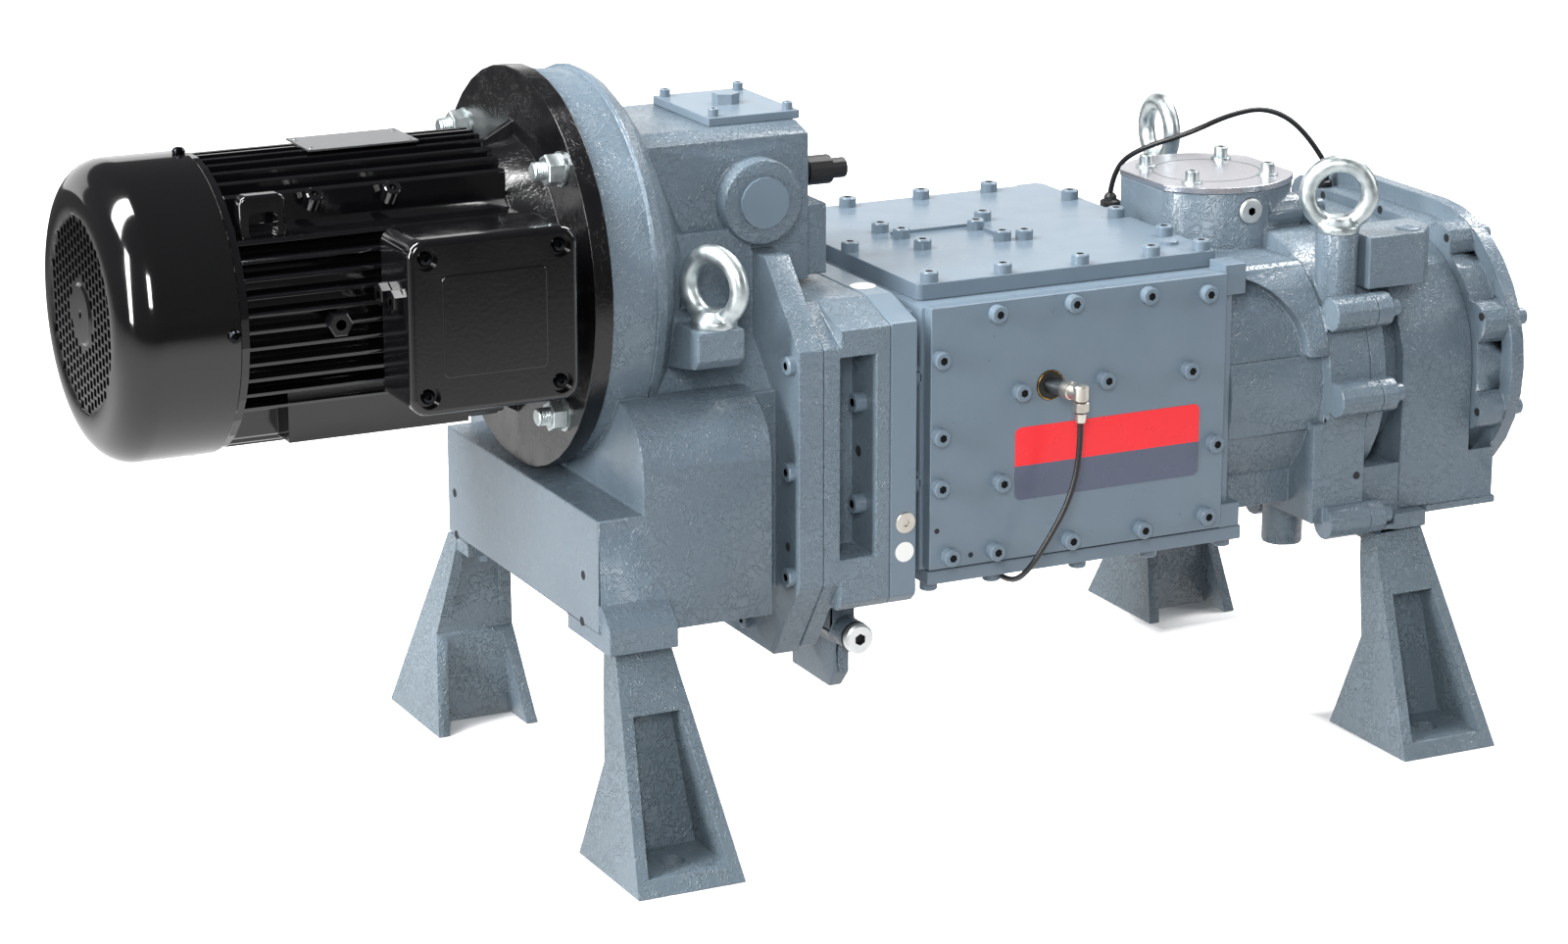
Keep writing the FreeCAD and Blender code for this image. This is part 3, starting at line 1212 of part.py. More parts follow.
ring_rim_x = end_ring_right_x - end_ring_rim
ring_places = []
for angle in end_screw_angles:
    a = math.radians(angle)
    pad_circle_r = end_ring_r - end_ring_pad_r
    ring_places.append((rotor_half_gap + end_screw_circle_r * math.cos(a),
                        rotor_axis_z + end_screw_circle_r * math.sin(a),
                        rotor_half_gap + pad_circle_r * math.cos(a), rotor_axis_z + pad_circle_r * math.sin(a)))
ring = [stadium(end_ring_body_r, end_ring_left_x, ring_rim_x), stadium(end_ring_r, ring_rim_x, end_ring_right_x)]
for side in (-1, 1):
    for y, z, pad_y, pad_z in ring_places:
        ring.append(peg(end_ring_pad_r, (end_ring_left_x, side * pad_y, pad_z), (ring_rim_x, side * pad_y, pad_z), 12))
seat = peg(12, (end_sensor_x, end_sensor_y, end_sensor_seat_z), (end_sensor_x, end_sensor_y, end_sensor_top_z), 12)
stand(union(ring).cut(seat).removeSplitter(), "end_ring_cover")

drum = [stadium(drum_r, end_plate_right_x, end_ring_left_x),
        block(end_plate_right_x, end_ring_left_x, -half_y, half_y, drum_bottom_z, rotor_axis_z)]
for side in (-1, 1):
    drum.append(block(end_ring_left_x - 1, corner_right_x, side * corner_inner_y, side * half_y, drum_bottom_z,
                      corner_top_z))
drum.append(block(sole_left_x, corner_right_x + sole_lip, -half_y - sole_lip, half_y + sole_lip,
                  drum_bottom_z - sole_thick, drum_bottom_z))
hollow = stadium(drum_r - drum_wall, end_plate_right_x - 1, end_ring_left_x - drum_wall)
room = stadium(end_ring_r + fit_gap, end_ring_left_x, end_ring_right_x + 1)
drum = union(drum).cut([hollow, room] + lugs)
stand(drum.removeSplitter(), "end_cover")

places = [(end_ring_right_x, y, z) for y, z, pad_y, pad_z in ring_places]
places += [(end_plate_rim_x, y, z) for x, y, z in lobe_places if y > 0]
stand(group(heads(both(places), X, cap_head_r, end_head_height, 6)), "end_cover_screws")


def lifting_eye(x, y, z, turn):
    centre_z = eye_height - eye_ring_r - eye_wire_r
    rows = []
    for n in range(14):
        a = 2 * math.pi * (n + 0.5) / 14
        rows.append([])
        for k in range(5):
            t = 2 * math.pi * k / 5
            r = eye_ring_r + eye_wire_r * math.cos(t)
            rows[-1].append(V(r * math.sin(a), eye_wire_r * math.sin(t), centre_z + r * math.cos(a)))
    eye = union([peg(eye_collar_r, (0, 0, 0), (0, 0, eye_collar_height), 12), skin(rows, True),
                 peg(eye_neck_r, (0, 0, eye_collar_height), (0, 0, eye_collar_height + 4)),
                 peg(eye_shank_r - running_gap, (0, 0, 1 - eye_shank_length), (0, 0, 0))])
    eye.rotate(V(0, 0, 0), Z, turn)
    eye.translate(V(x, y, z))
    return eye


stand(group([lifting_eye(x, y, z, turn) for (x, y, z), turn in zip(left_eyes + right_eyes, eye_turns)]),
     "lifting_eyes")
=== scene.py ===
# %% [markdown]
# # Dressing a dry screw vacuum pump for its picture
#
# The pump is an assembly of castings, plates, screws and a motor, and it comes into
# Blender as a fixed frame of plain solids. This lesson gives every solid the finish of
# the real thing, and puts a finer piece over the solids that were kept simple: screws
# with sockets, forged lifting eyes, a punched grille, cables and labels. The pump lies
# along X, with the motor on the left, and its front looks towards -Y.

# %% Load the frame
import bmesh
import bpy
import json
import math
from mathutils import Matrix, Vector

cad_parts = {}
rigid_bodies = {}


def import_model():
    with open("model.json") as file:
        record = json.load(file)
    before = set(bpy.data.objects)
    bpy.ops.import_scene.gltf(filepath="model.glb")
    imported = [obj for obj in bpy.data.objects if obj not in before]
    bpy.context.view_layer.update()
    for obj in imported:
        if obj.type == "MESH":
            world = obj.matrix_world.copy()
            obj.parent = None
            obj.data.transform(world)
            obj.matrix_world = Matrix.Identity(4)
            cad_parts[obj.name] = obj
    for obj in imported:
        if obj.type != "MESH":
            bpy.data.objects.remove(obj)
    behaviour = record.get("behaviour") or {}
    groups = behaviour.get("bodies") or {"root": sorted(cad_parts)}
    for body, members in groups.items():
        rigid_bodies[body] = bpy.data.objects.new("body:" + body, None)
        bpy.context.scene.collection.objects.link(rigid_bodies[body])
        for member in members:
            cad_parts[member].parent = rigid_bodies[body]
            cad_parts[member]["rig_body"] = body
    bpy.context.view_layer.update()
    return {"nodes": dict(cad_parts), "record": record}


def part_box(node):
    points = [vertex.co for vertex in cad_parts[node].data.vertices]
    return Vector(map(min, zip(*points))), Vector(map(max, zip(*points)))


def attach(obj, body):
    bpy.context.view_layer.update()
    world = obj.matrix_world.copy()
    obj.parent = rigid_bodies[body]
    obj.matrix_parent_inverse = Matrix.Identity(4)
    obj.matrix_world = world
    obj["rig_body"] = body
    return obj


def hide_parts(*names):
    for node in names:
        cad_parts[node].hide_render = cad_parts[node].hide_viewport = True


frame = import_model()
nodes = frame["nodes"]
slot_of = {part["node"]: part["material_slot"] for part in frame["record"]["subparts"]}
MM = 0.001
LEFT, RIGHT, FRONT, UP = (-1, 0, 0), (1, 0, 0), (0, -1, 0), (0, 0, 1)
ALONG_X, ALONG_Y, ALONG_Z = 0, 1, 2

# %% [markdown]
# Colours are easiest to judge as the hex values that a paint chart or a photograph gives.
# Blender's shaders want linear light, so one function turns the first into the second.

# %% Colours from hex values
def colour(hex_value):
    parts = [int(hex_value[k:k + 2], 16) / 255 for k in (1, 3, 5)]
    return [p / 12.92 if p <= 0.04045 else ((p + 0.055) / 1.055) ** 2.4 for p in parts] + [1.0]


print("grey", [round(v, 3) for v in colour("#808080")])

# %% [markdown]
# A finish is a small network of shader nodes. Adding a node always takes the same three
# steps, making it, setting it and linking it, so one function does them for every kind
# of node. A few short functions on top of it do what every finish needs: a noise, a
# sum, a range, and the three ways in which a pattern shows, as a colour, as a change of
# shine or as relief. Patterns read Object coordinates: every piece sits at the origin, so
# a pattern has the same size in metres everywhere and doesn't slide when a rotor turns.

# %% Functions that build a finish from nodes
def add_node(tree, kind, values=None, links=None, **settings):
    node = tree.nodes.new("ShaderNode" + kind)
    for name, value in settings.items():
        setattr(node, name, value)
    for socket, value in (values or {}).items():
        node.inputs[socket].default_value = value
    for socket, source in (links or {}).items():
        tree.links.new(source, node.inputs[socket])
    return node


def compute(tree, operation, first, second=None):
    # each term is a number or the output of another node
    node = add_node(tree, "Math", operation=operation)
    for socket, term in zip(node.inputs, (first, second)):
        if isinstance(term, (int, float)):
            socket.default_value = term
        elif term is not None:
            tree.links.new(term, socket)
    return node.outputs[0]


def noise(tree, spot, size_mm, detail=3.0, distortion=0.0):
    values = {"Scale": 1 / (size_mm * MM), "Detail": detail, "Distortion": distortion}
    return add_node(tree, "TexNoise", values, {"Vector": spot}).outputs[0]


def remap(tree, source, start, stop, low=0.0, high=1.0, smooth=False):
    values = {"From Min": start, "From Max": stop, "To Min": low, "To Max": high}
    way = "SMOOTHSTEP" if smooth else "LINEAR"
    return add_node(tree, "MapRange", values, {"Value": source}, interpolation_type=way).outputs[0]


def new_finish(name, **shader_values):
    material = bpy.data.materials.new(name)
    material.use_nodes = True
    tree = material.node_tree
    tree.nodes.clear()
    values = {key.replace("_", " "): value for key, value in shader_values.items()}
    shader = add_node(tree, "BsdfPrincipled", values)
    add_node(tree, "OutputMaterial", links={"Surface": shader.outputs[0]})
    place = add_node(tree, "TexCoord")
    return material, tree, shader, place


def show_as_colour(tree, shader, source, light, dark, start=0.0, stop=1.0):
    ramp = add_node(tree, "ValToRGB", links={"Fac": source})
    for element, position, shade in zip(ramp.color_ramp.elements, (start, stop), (dark, light)):
        element.position = position
        element.color = colour(shade)
    tree.links.new(ramp.outputs[0], shader.inputs["Base Color"])


def show_as_shine(tree, shader, source, low, high, start=0.3):
    tree.links.new(remap(tree, source, start, 0.7, low, high), shader.inputs["Roughness"])


def show_as_relief(tree, shader, source, strength, depth_mm):
    values = {"Strength": strength, "Distance": depth_mm * MM}
    bump = add_node(tree, "Bump", values, {"Height": source})
    tree.links.new(bump.outputs[0], shader.inputs["Normal"])


print("node functions ready")

# %% [markdown]
# **Painted cast iron.** The pump's castings are sand cast iron, sprayed with one coat of
# blue grey enamel. The sand leaves a skin of short raised curls a few millimetres long,
# and the paint rounds them off. The lines where a smooth noise passes through its middle
# value look just like that, so the height comes from how near the noise is to one half.
# The real curls are half as wide: at that size they would vanish between the pixels.
# Faces square to the pump's axis are machined before painting, so the skin is nearly
# left off where the normal points along X. Enamel is a plain dielectric with a satin
# shine. The black flange disc of the motor is cast too, and nearly smooth.

# %% Enamel on cast iron
BROAD_MM, MOTTLE_MM, GRAIN_MM = 120, 28, 1.6
CURL_REACH = 0.07
PEEL_DEPTH_MM = 0.1
SHADE_IN_CURLS = 0.08


def painted_iron(name, light, dark, curl_mm, curl_height_mm, machined_ends, shine):
    material, tree, shader, place = new_finish(name)
    spot = place.outputs["Object"]
    broad = noise(tree, spot, BROAD_MM)
    mottle = noise(tree, spot, MOTTLE_MM)
    curls = noise(tree, spot, curl_mm, detail=1.0, distortion=0.9)
    from_half = compute(tree, "ABSOLUTE", compute(tree, "SUBTRACT", curls, 0.5))
    ridge = remap(tree, from_half, 0.0, CURL_REACH, 1.0, 0.0, smooth=True)
    patches = remap(tree, mottle, 0.36, 0.56, low=0.25)
    height = compute(tree, "MULTIPLY", ridge, patches)
    if machined_ends:
        axes = add_node(tree, "SeparateXYZ", links={0: place.outputs["Normal"]})
        along_x = compute(tree, "ABSOLUTE", axes.outputs["X"])
        height = compute(tree, "MULTIPLY", height, remap(tree, along_x, 0.93, 0.98, 1.0, 0.12))
    clouds = compute(tree, "ADD", broad, mottle)
    # the curls are also painted a little darker: painted shade of their relief
    curl_shade = compute(tree, "MULTIPLY", height, SHADE_IN_CURLS * curl_height_mm)
    shaded = compute(tree, "SUBTRACT", clouds, curl_shade)
    show_as_colour(tree, shader, remap(tree, shaded, 0.7, 1.3), light, dark)
    show_as_shine(tree, shader, mottle, *shine)
    grain = noise(tree, spot, GRAIN_MM, detail=2.0)
    peel = add_node(tree, "Bump", {"Strength": 0.35, "Distance": PEEL_DEPTH_MM * MM}, {"Height": grain})
    skin = add_node(tree, "Bump", {"Strength": 1.0, "Distance": curl_height_mm * MM},
                    {"Height": height, "Normal": peel.outputs[0]})
    tree.links.new(skin.outputs[0], shader.inputs["Normal"])
    return material


cast_enamel = painted_iron("blue_grey_enamel_on_cast_iron", "#66747f", "#5b6974", curl_mm=6.0,
                           curl_height_mm=0.5, machined_ends=True, shine=(0.22, 0.32))
rough_enamel = painted_iron("blue_grey_enamel_on_rough_casting", "#687680", "#59666f", curl_mm=6.0,
                            curl_height_mm=0.8, machined_ends=False, shine=(0.22, 0.32))
fine_enamel = painted_iron("blue_grey_enamel_on_machined_plate", "#687783", "#647380", curl_mm=9.0,
                           curl_height_mm=0.02, machined_ends=True, shine=(0.27, 0.33))
flange_paint = painted_iron("black_paint_on_cast_flange", "#0d0d0f", "#08080a", curl_mm=6.0,
                            curl_height_mm=0.08, machined_ends=False, shine=(0.18, 0.26))
print("made", cast_enamel.name, rough_enamel.name, fine_enamel.name, "and", flange_paint.name)

# %% [markdown]
# **Black paint.** The motor is sprayed gloss black over ribbed aluminium, and its sheet
# steel fan cover is smoother still. A gloss coat shows the room, so almost nothing is
# needed beyond a low roughness, a fine orange peel and a few dull patches.

# %% Gloss black paint
def black_paint(name, shade, roughness_low, roughness_high, peel_mm):
    material, tree, shader, place = new_finish(name, Base_Color=colour(shade), IOR=1.62)
    spot = place.outputs["Object"]
    patches = noise(tree, spot, 35, detail=4.0)
    show_as_shine(tree, shader, patches, roughness_low, roughness_high, start=0.35)
    peel = noise(tree, spot, 4, detail=2.0)
    show_as_relief(tree, shader, peel, 0.3, peel_mm)
    return material


motor_paint = black_paint("gloss_black_paint", "#08080a", 0.09, 0.17, 0.12)
cover_paint = black_paint("gloss_black_powder_coat", "#09090a", 0.08, 0.12, 0.02)
print("made", motor_paint.name, "and", cover_paint.name)

# %% [markdown]
# **Metals.** Zinc plate is a bright blue white with a cloudy sheen, ground steel is
# plain grey, cast rotors are duller, aluminium is nearly white, and copper is itself.
# All are full metals with the default IOR. What tells them apart is the colour, the
# roughness and the size of the marks left by forging, turning or milling. A pattern
# that is squeezed along one axis gives the fine lines of a milled or ground face.

# %% Bare metals
def bare_metal(name, light, dark, rough_low, rough_high, mark_mm, depth_mm, squeeze=(1, 1, 1)):
    material, tree, shader, place = new_finish(name, Metallic=1.0)
    squeezed = add_node(tree, "Mapping", {"Scale": squeeze}, {"Vector": place.outputs["Object"]})
    marks = noise(tree, squeezed.outputs[0], mark_mm, detail=4.0)
    show_as_colour(tree, shader, marks, light, dark, 0.3, 0.7)
    show_as_shine(tree, shader, marks, rough_low, rough_high)
    show_as_relief(tree, shader, marks, 0.5, depth_mm)
    return material


zinc = bare_metal("zinc_plated_steel", "#d0d7d8", "#aab4b6", 0.34, 0.48, 9.0, 0.04)
aluminium = bare_metal("milled_aluminium", "#d4d3d8", "#bebec5", 0.24, 0.36, 1.5, 0.02, (1, 12, 1))
ground_steel = bare_metal("ground_steel", "#b4b6b8", "#96989a", 0.2, 0.34, 2.0, 0.02, (10, 1, 1))
dull_steel = bare_metal("oiled_dark_steel", "#6f7477", "#565b5e", 0.34, 0.45, 12.0, 0.02)
core_steel = bare_metal("stacked_core_steel", "#77797b", "#56585a", 0.4, 0.55, 0.7, 0.1, (12, 1, 1))
black_steel = bare_metal("gloss_black_steel", "#2a2c2f", "#1a1b1d", 0.14, 0.26, 3.0, 0.02)
rotor_iron = bare_metal("machined_rotor_iron", "#85888b", "#6c6f72", 0.3, 0.45, 3.0, 0.05)
bright_steel = bare_metal("turned_bright_steel", "#e9ebeb", "#d8dbdb", 0.42, 0.5, 12.0, 0.01)
copper = bare_metal("wound_copper", "#d08a5e", "#a7603a", 0.25, 0.4, 1.4, 0.3, (6, 1, 1))
nickel = bare_metal("nickel_plated_brass", "#dcd8d0", "#c4beb4", 0.3, 0.4, 12.0, 0.02)
brass = bare_metal("turned_brass", "#c9a25a", "#9c7636", 0.25, 0.4, 2.0, 0.02)
plate_steel = bare_metal("satin_nameplate_steel", "#a7a9ab", "#86888b", 0.3, 0.42, 1.2, 0.02, (1, 10, 1))
print("made zinc, aluminium, steels, iron, copper, nickel and brass")

# %% [markdown]
# ** Plastic, rubber and film.** Connectors are moulded nylon with a fine spark eroded
# grain, cable jackets are extruded PVC with a softer shine, and labels are smooth
# printed film. A small deep hollow, such as a socket, gets a matt near black as painted shade.

# %% Moulded plastic, cable jacket and printed film
def moulded(name, shade, roughness, grain_mm, depth_mm, cloud=1.25):
    material, tree, shader, place = new_finish(name)
    grain = noise(tree, place.outputs["Object"], grain_mm)
    clouded = [min(1, cloud * v + 0.004) for v in colour(shade)]
    tint = add_node(tree, "MixRGB", {1: colour(shade), 2: clouded}, {0: grain})
    tree.links.new(tint.outputs[0], shader.inputs["Base Color"])
    show_as_shine(tree, shader, grain, roughness - 0.06, roughness + 0.06)
    show_as_relief(tree, shader, grain, 0.4, depth_mm)
    return material


black_nylon = moulded("black_moulded_nylon", "#141416", 0.45, 0.8, 0.05)
cable_jacket = moulded("black_cable_jacket", "#101012", 0.38, 1.6, 0.03)
seal_rubber = moulded("black_seal_rubber", "#151515", 0.6, 1.2, 0.05)
painted_hollow_shade = moulded("shadow_in_small_hollows", "#15181b", 0.8, 2.0, 0.01)
red_film = moulded("red_label_film", "#e3242d", 0.28, 30.0, 0.004, cloud=1.04)
grey_film = moulded("dark_grey_label_film", "#4e5467", 0.28, 30.0, 0.004, cloud=1.04)
white_film = moulded("white_label_film", "#dcdcda", 0.35, 30.0, 0.004, cloud=1.04)
print("made", black_nylon.name, cable_jacket.name, seal_rubber.name, "and the label films")

# %% [markdown]
# Every solid of the frame gets its finish first, from the slot that the record gives it.
# Plates that are machined all over take the smooth enamel, and the legs the roughest.

# %% A finish for every solid
finish_of_slot = {
    "blue_grey_enamel": cast_enamel, "black_gloss_paint": motor_paint, "zinc_plated_steel": zinc,
    "blackened_steel": dull_steel, "bare_aluminium": aluminium, "core_steel": core_steel, "copper": copper,
    "ground_steel": ground_steel, "rotor_iron": rotor_iron, "black_plastic": black_nylon,
    "sensor_plastic": nickel, "black_rubber": seal_rubber,
}
legs = ("front_left_leg", "rear_left_leg", "front_right_leg", "rear_right_leg")
machined = ("top_cover", "front_side_cover", "rear_side_cover", "bottom_cover", "middle_plate",
            "gearbox_top_cover", "gearbox_boss_cap", "stator_body", "oil_filler_plug", "leg_bolts")
finish_of = {name: finish_of_slot[slot_of[name]] for name in nodes}
finish_of.update({name: fine_enamel for name in machined})
finish_of.update({name: rough_enamel for name in legs})
finish_of.update({
    "fan_cover": cover_paint, "drive_end_shield": flange_paint, "motor_nameplate": plate_steel,
    "front_sensor_cable": cable_jacket, "rear_sensor_cable": cable_jacket,
})
for name, node in nodes.items():
    node.data.materials.clear()
    node.data.materials.append(finish_of[name])
print("dressed", len(nodes), "solids")

# %% [markdown]
# A finer piece always ends the same way: its mesh gets smooth shading with sharp edges
# where two faces meet steeply, its object goes on the body of the solid it stands for,
# and that solid is hidden. Faces marked with the second material slot, such as the
# bottoms of sockets, get the second finish, which by default is a matt black of painted shade.

# %% Turning a mesh into a piece of the pump
def keep_mesh(bm, name):
    mesh = bpy.data.meshes.new(name)
    bm.to_mesh(mesh)
    bm.free()
    return mesh


def place_object(name, data):
    placed = bpy.data.objects.new(name, data)
    bpy.context.scene.collection.objects.link(placed)
    return placed


def smooth_but_sharp(mesh, sharp):
    mesh.shade_smooth()
    mesh.set_sharp_from_angle(angle=math.radians(sharp))


def with_modifiers(holder):
    bpy.context.view_layer.update()
    finished = holder.evaluated_get(bpy.context.evaluated_depsgraph_get())
    return bpy.data.meshes.new_from_object(finished)


def finish_piece(name, bm, finish, stands_for=(), rides_with=None, sharp=32, second=None):
    mesh = keep_mesh(bm, name)
    smooth_but_sharp(mesh, sharp)
    mesh.materials.append(finish)
    if any(face.material_index for face in mesh.polygons):
        mesh.materials.append(second or painted_hollow_shade)
    piece = place_object(name, mesh)
    owner = (list(stands_for) + [rides_with])[0]
    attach(piece, nodes[owner]["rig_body"])
    if stands_for:
        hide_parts(*stands_for)
    print(name, len(mesh.polygons), "faces")
    return piece


def merged_copy(name):
    bm = bmesh.new()
    bm.from_mesh(nodes[name].data)
    bmesh.ops.remove_doubles(bm, verts=bm.verts[:], dist=0.00002)
    return bm


print("piece functions ready")

# %% [markdown]
# **Rounded castings.** No casting has a knife edge: the pattern is rounded, and the
# paint rounds it again. The edges could be rounded one by one, but a bevel on every
# steep edge of the solid gives the same look in one step. The triangles of flat faces
# are joined first, so that the bevel sees only real edges. A face with many corners can
# fold over itself when its edges are pushed in, so those are cut into triangles again.

# %% Castings and plates with rounded edges
FLAT, STEEP = math.radians(0.8), math.radians(28)


def soften(name, width_mm, clamp=False):
    bm = merged_copy(name)
    bmesh.ops.dissolve_limit(bm, angle_limit=FLAT, verts=bm.verts[:], edges=bm.edges[:], delimit={"NORMAL"})
    bmesh.ops.triangulate(bm, faces=[f for f in bm.faces if len(f.verts) > 4])
    count = sum(len(e.link_faces) == 2 and e.calc_face_angle(0) > STEEP for e in bm.edges)
    piece = finish_piece("soft_" + name, bm, finish_of[name], [name], sharp=28)
    rounding = piece.modifiers.new("rounded_edges", "BEVEL")
    rounding.width = width_mm * MM
    rounding.segments = 2
    rounding.limit_method = "ANGLE"
    rounding.angle_limit = STEEP
    rounding.harden_normals = True
    rounding.use_clamp_overlap = clamp
    print("  rounded", count, "edges of", name)


LEG_ROUND, CAST_ROUND, PLATE_ROUND = 2.2, 1.6, 1.0
rounding_of = {
    "top_cover": PLATE_ROUND, "front_side_cover": PLATE_ROUND, "rear_side_cover": PLATE_ROUND,
    "bottom_cover": PLATE_ROUND, "middle_plate": CAST_ROUND, "gearbox_top_cover": 0.8, "terminal_box": 1.5,
    "head_plate": CAST_ROUND, "gearbox_housing": CAST_ROUND, "inlet_housing": CAST_ROUND,
    "end_bearing_plate": 1.4, "end_cover": CAST_ROUND, "end_ring_cover": PLATE_ROUND,
    "stator_body": PLATE_ROUND, "motor_frame": 0.7, "drive_end_shield": 0.8, "inlet_cover_plate": 0.5,
}
for name in legs:
    soften(name, LEG_ROUND, clamp=True)
for name, width in rounding_of.items():
    soften(name, width)

# %% [markdown]
# **Where the simple screws are.** The frame already has a plain peg for every screw, in
# one solid per group. Reading the place of each peg from there keeps the fine screws on
# the real holes. The pegs of a group are separate islands of faces, so the mesh is
# walked from edge to edge until each island is complete. A peg points along its own
# axis, away from the middle of the pump.

# %% Finding the separate pegs in a group
PUMP_MIDDLE = (0, 0, 0.333)


def islands(name):
    bm = merged_copy(name)
    left = set(bm.verts)
    found = []
    while left:
        queue = [left.pop()]
        island = []
        while queue:
            vert = queue.pop()
            island.append(vert.co.copy())
            for edge in vert.link_edges:
                other = edge.other_vert(vert)
                if other in left:
                    left.remove(other)
                    queue.append(other)
        found.append(island)
    bm.free()
    return found


def extent(points):
    low = Vector(min(p[k] for p in points) for k in range(3))
    high = Vector(max(p[k] for p in points) for k in range(3))
    return low, high


def pegs(name, way=None):
    # each peg as the middle of its seat, its outward direction, its radius and its height
    found = []
    for island in islands(name):
        low, high = extent(island)
        middle, size = (low + high) / 2, high - low
        axis = min(range(3), key=lambda k: size[k]) if way is None else way
        out = Vector((0, 0, 0))
        out[axis] = 1 if middle[axis] > PUMP_MIDDLE[axis] else -1
        radius = max(size[k] for k in range(3) if k != axis) / 2
        found.append((middle - out * size[axis] / 2, out, radius, size[axis]))
    return found


print("cover screws", len(pegs("pump_cover_screws")))

# %% [markdown]
# **Socket head cap screws.** A cap screw has a round head with a small chamfer at the
# top and a hexagon socket. The wall is a circle pulled up in two steps, the second one
# smaller for the chamfer. Six corners are bridged to the rim to make the top face, and
# then pushed down to make the socket. There are many screws, so each has only a few
# dozen faces.

# %% Stacks of rings, one cap screw, and a group of them
def ring_of(bm, radius, z, sides):
    made = bmesh.ops.create_circle(bm, segments=sides, radius=radius, cap_ends=False)
    bmesh.ops.translate(bm, verts=made["verts"], vec=(0, 0, z))
    return made["verts"]


def rim_edges(bm, verts):
    chosen = set(verts)
    return [e for e in bm.edges if e.verts[0] in chosen and e.verts[1] in chosen]


def join_rings(bm, rings):
    for low, high in zip(rings, rings[1:]):
        bmesh.ops.bridge_loops(bm, edges=rim_edges(bm, low) + rim_edges(bm, high))


def ring_stack(levels, hollow_end=False):
    # levels: the radius, the height and the number of sides of each ring
    bm = bmesh.new()
    rings = [ring_of(bm, *level) for level in levels]
    join_rings(bm, rings)
    if hollow_end:
        bmesh.ops.contextual_create(bm, geom=rim_edges(bm, rings[-1]))
    bmesh.ops.recalc_face_normals(bm, faces=bm.faces[:])
    # the bottom of a hollow end takes the second slot, where a painted shade goes
    last = set(rings[-1])
    for face in bm.faces:
        face.material_index = 1 if hollow_end and last.intersection(face.verts) else 0
    return keep_mesh(bm, "ring_stack_pattern")


def cap_screw(radius, height, socket_share=0.42, sides=18):
    chamfer = radius * 0.14
    socket = radius * socket_share * 1.12
    return ring_stack([(radius, 0, sides), (radius, height - chamfer, sides),
                       (radius - chamfer, height, sides), (socket, height, 6),
                       (socket, height * 0.45, 6)], hollow_end=True)


def paste(bm, pattern, place):
    known = len(bm.verts)
    bm.from_mesh(pattern)
    bm.verts.ensure_lookup_table()
    bmesh.ops.transform(bm, matrix=place, verts=bm.verts[known:])


def stamp(bm, pattern, foot, out, turn=0.0):
    # pastes a pattern on its foot, with its own Z along the outward direction
    spin = Vector(out).to_track_quat("Z", "Y").to_matrix().to_4x4() @ Matrix.Rotation(turn, 4, "Z")
    paste(bm, pattern, Matrix.Translation(foot) @ spin)


SOCKET_TURN = 0.7
for node, name, way in (("pump_cover_screws", "cover_cap_screws", None),
                        ("slot_cap_screws", "head_plate_cap_screws", ALONG_X),
                        ("flange_cap_screws", "gearbox_flange_cap_screws", ALONG_X),
                        ("gearbox_top_screws", "gearbox_top_cap_screws", None),
                        ("end_cover_screws", "end_ring_cap_screws", ALONG_X)):
    screws = pegs(node, way)
    pattern = cap_screw(screws[0][2], screws[0][3])
    bm = bmesh.new()
    for k, (foot, out, radius, height) in enumerate(screws):
        stamp(bm, pattern, foot, out, turn=k * SOCKET_TURN)
    finish_piece(name, bm, fine_enamel, [node])

# %% [markdown]
# **Inlet cover screws.** These four are plated and stand on a washer, so that the
# shipping cover can be taken off. The same screw pattern goes on a thin turned washer.

# %% Plated screws with washers on the inlet cover
WASHER_THICK, WASHER_CHAMFER = 0.002, 0.0004
bm = bmesh.new()
for k, (foot, out, radius, height) in enumerate(pegs("inlet_cover_screws", ALONG_Z)):
    washer = ring_stack([(radius, 0, 24), (radius, WASHER_THICK - WASHER_CHAMFER, 24),
                         (radius - WASHER_CHAMFER, WASHER_THICK, 24), (radius * 0.5, WASHER_THICK, 24)])
    stamp(bm, washer, foot, out)
    stamp(bm, cap_screw(0.0065, 0.0095), foot + out * WASHER_THICK, out, turn=k * 0.9)
finish_piece("inlet_cover_cap_screws", bm, zinc, ["inlet_cover_screws"])

# %% [markdown]
# **Turned pieces.** Plugs, sensors, studs and the fan cover are round about one axis, so
# their outline is drawn once as a chain of edges, and Spin turns it through a full
# circle. The ends that lie on the axis are merged into one point afterwards. A nut is a
# stack of rings like the screws, with six sides and its corners cut back.

# %% Spinning an outline into a round piece, and a nut
def spin_outline(outline_mm, steps=32):
    # the outline is a list of (height along the axis, radius) in millimetres
    bm = bmesh.new()
    verts = [bm.verts.new((radius * MM, 0, height * MM)) for height, radius in outline_mm]
    edges = [bm.edges.new(pair) for pair in zip(verts, verts[1:])]
    bmesh.ops.spin(bm, geom=verts + edges, cent=(0, 0, 0), axis=UP, angle=2 * math.pi, steps=steps,
                   use_merge=True)
    bmesh.ops.remove_doubles(bm, verts=bm.verts[:], dist=0.000005)
    bmesh.ops.recalc_face_normals(bm, faces=bm.faces[:])
    return keep_mesh(bm, "turned_pattern")


def hexagon(across_corners_mm, height_mm, hole_mm):
    r, h, hole, cut = across_corners_mm / 2 * MM, height_mm * MM, hole_mm * MM, 0.0012
    return ring_stack([(hole, 0, 12), (r - cut, 0, 6), (r, cut * 0.6, 6), (r, h - cut * 0.6, 6),
                       (r - cut, h, 6), (hole, h, 12)])


print("a nut has", len(hexagon(27.8, 13, 8).polygons), "faces")

# %% [markdown]
# **Flange studs.** Four studs hold the motor on the gearbox. Each shows its threaded
# end, a chamfered nut and a washer. The thread is a row of turned grooves rather than a
# true helix: at this size nobody can tell, and it closes neatly.

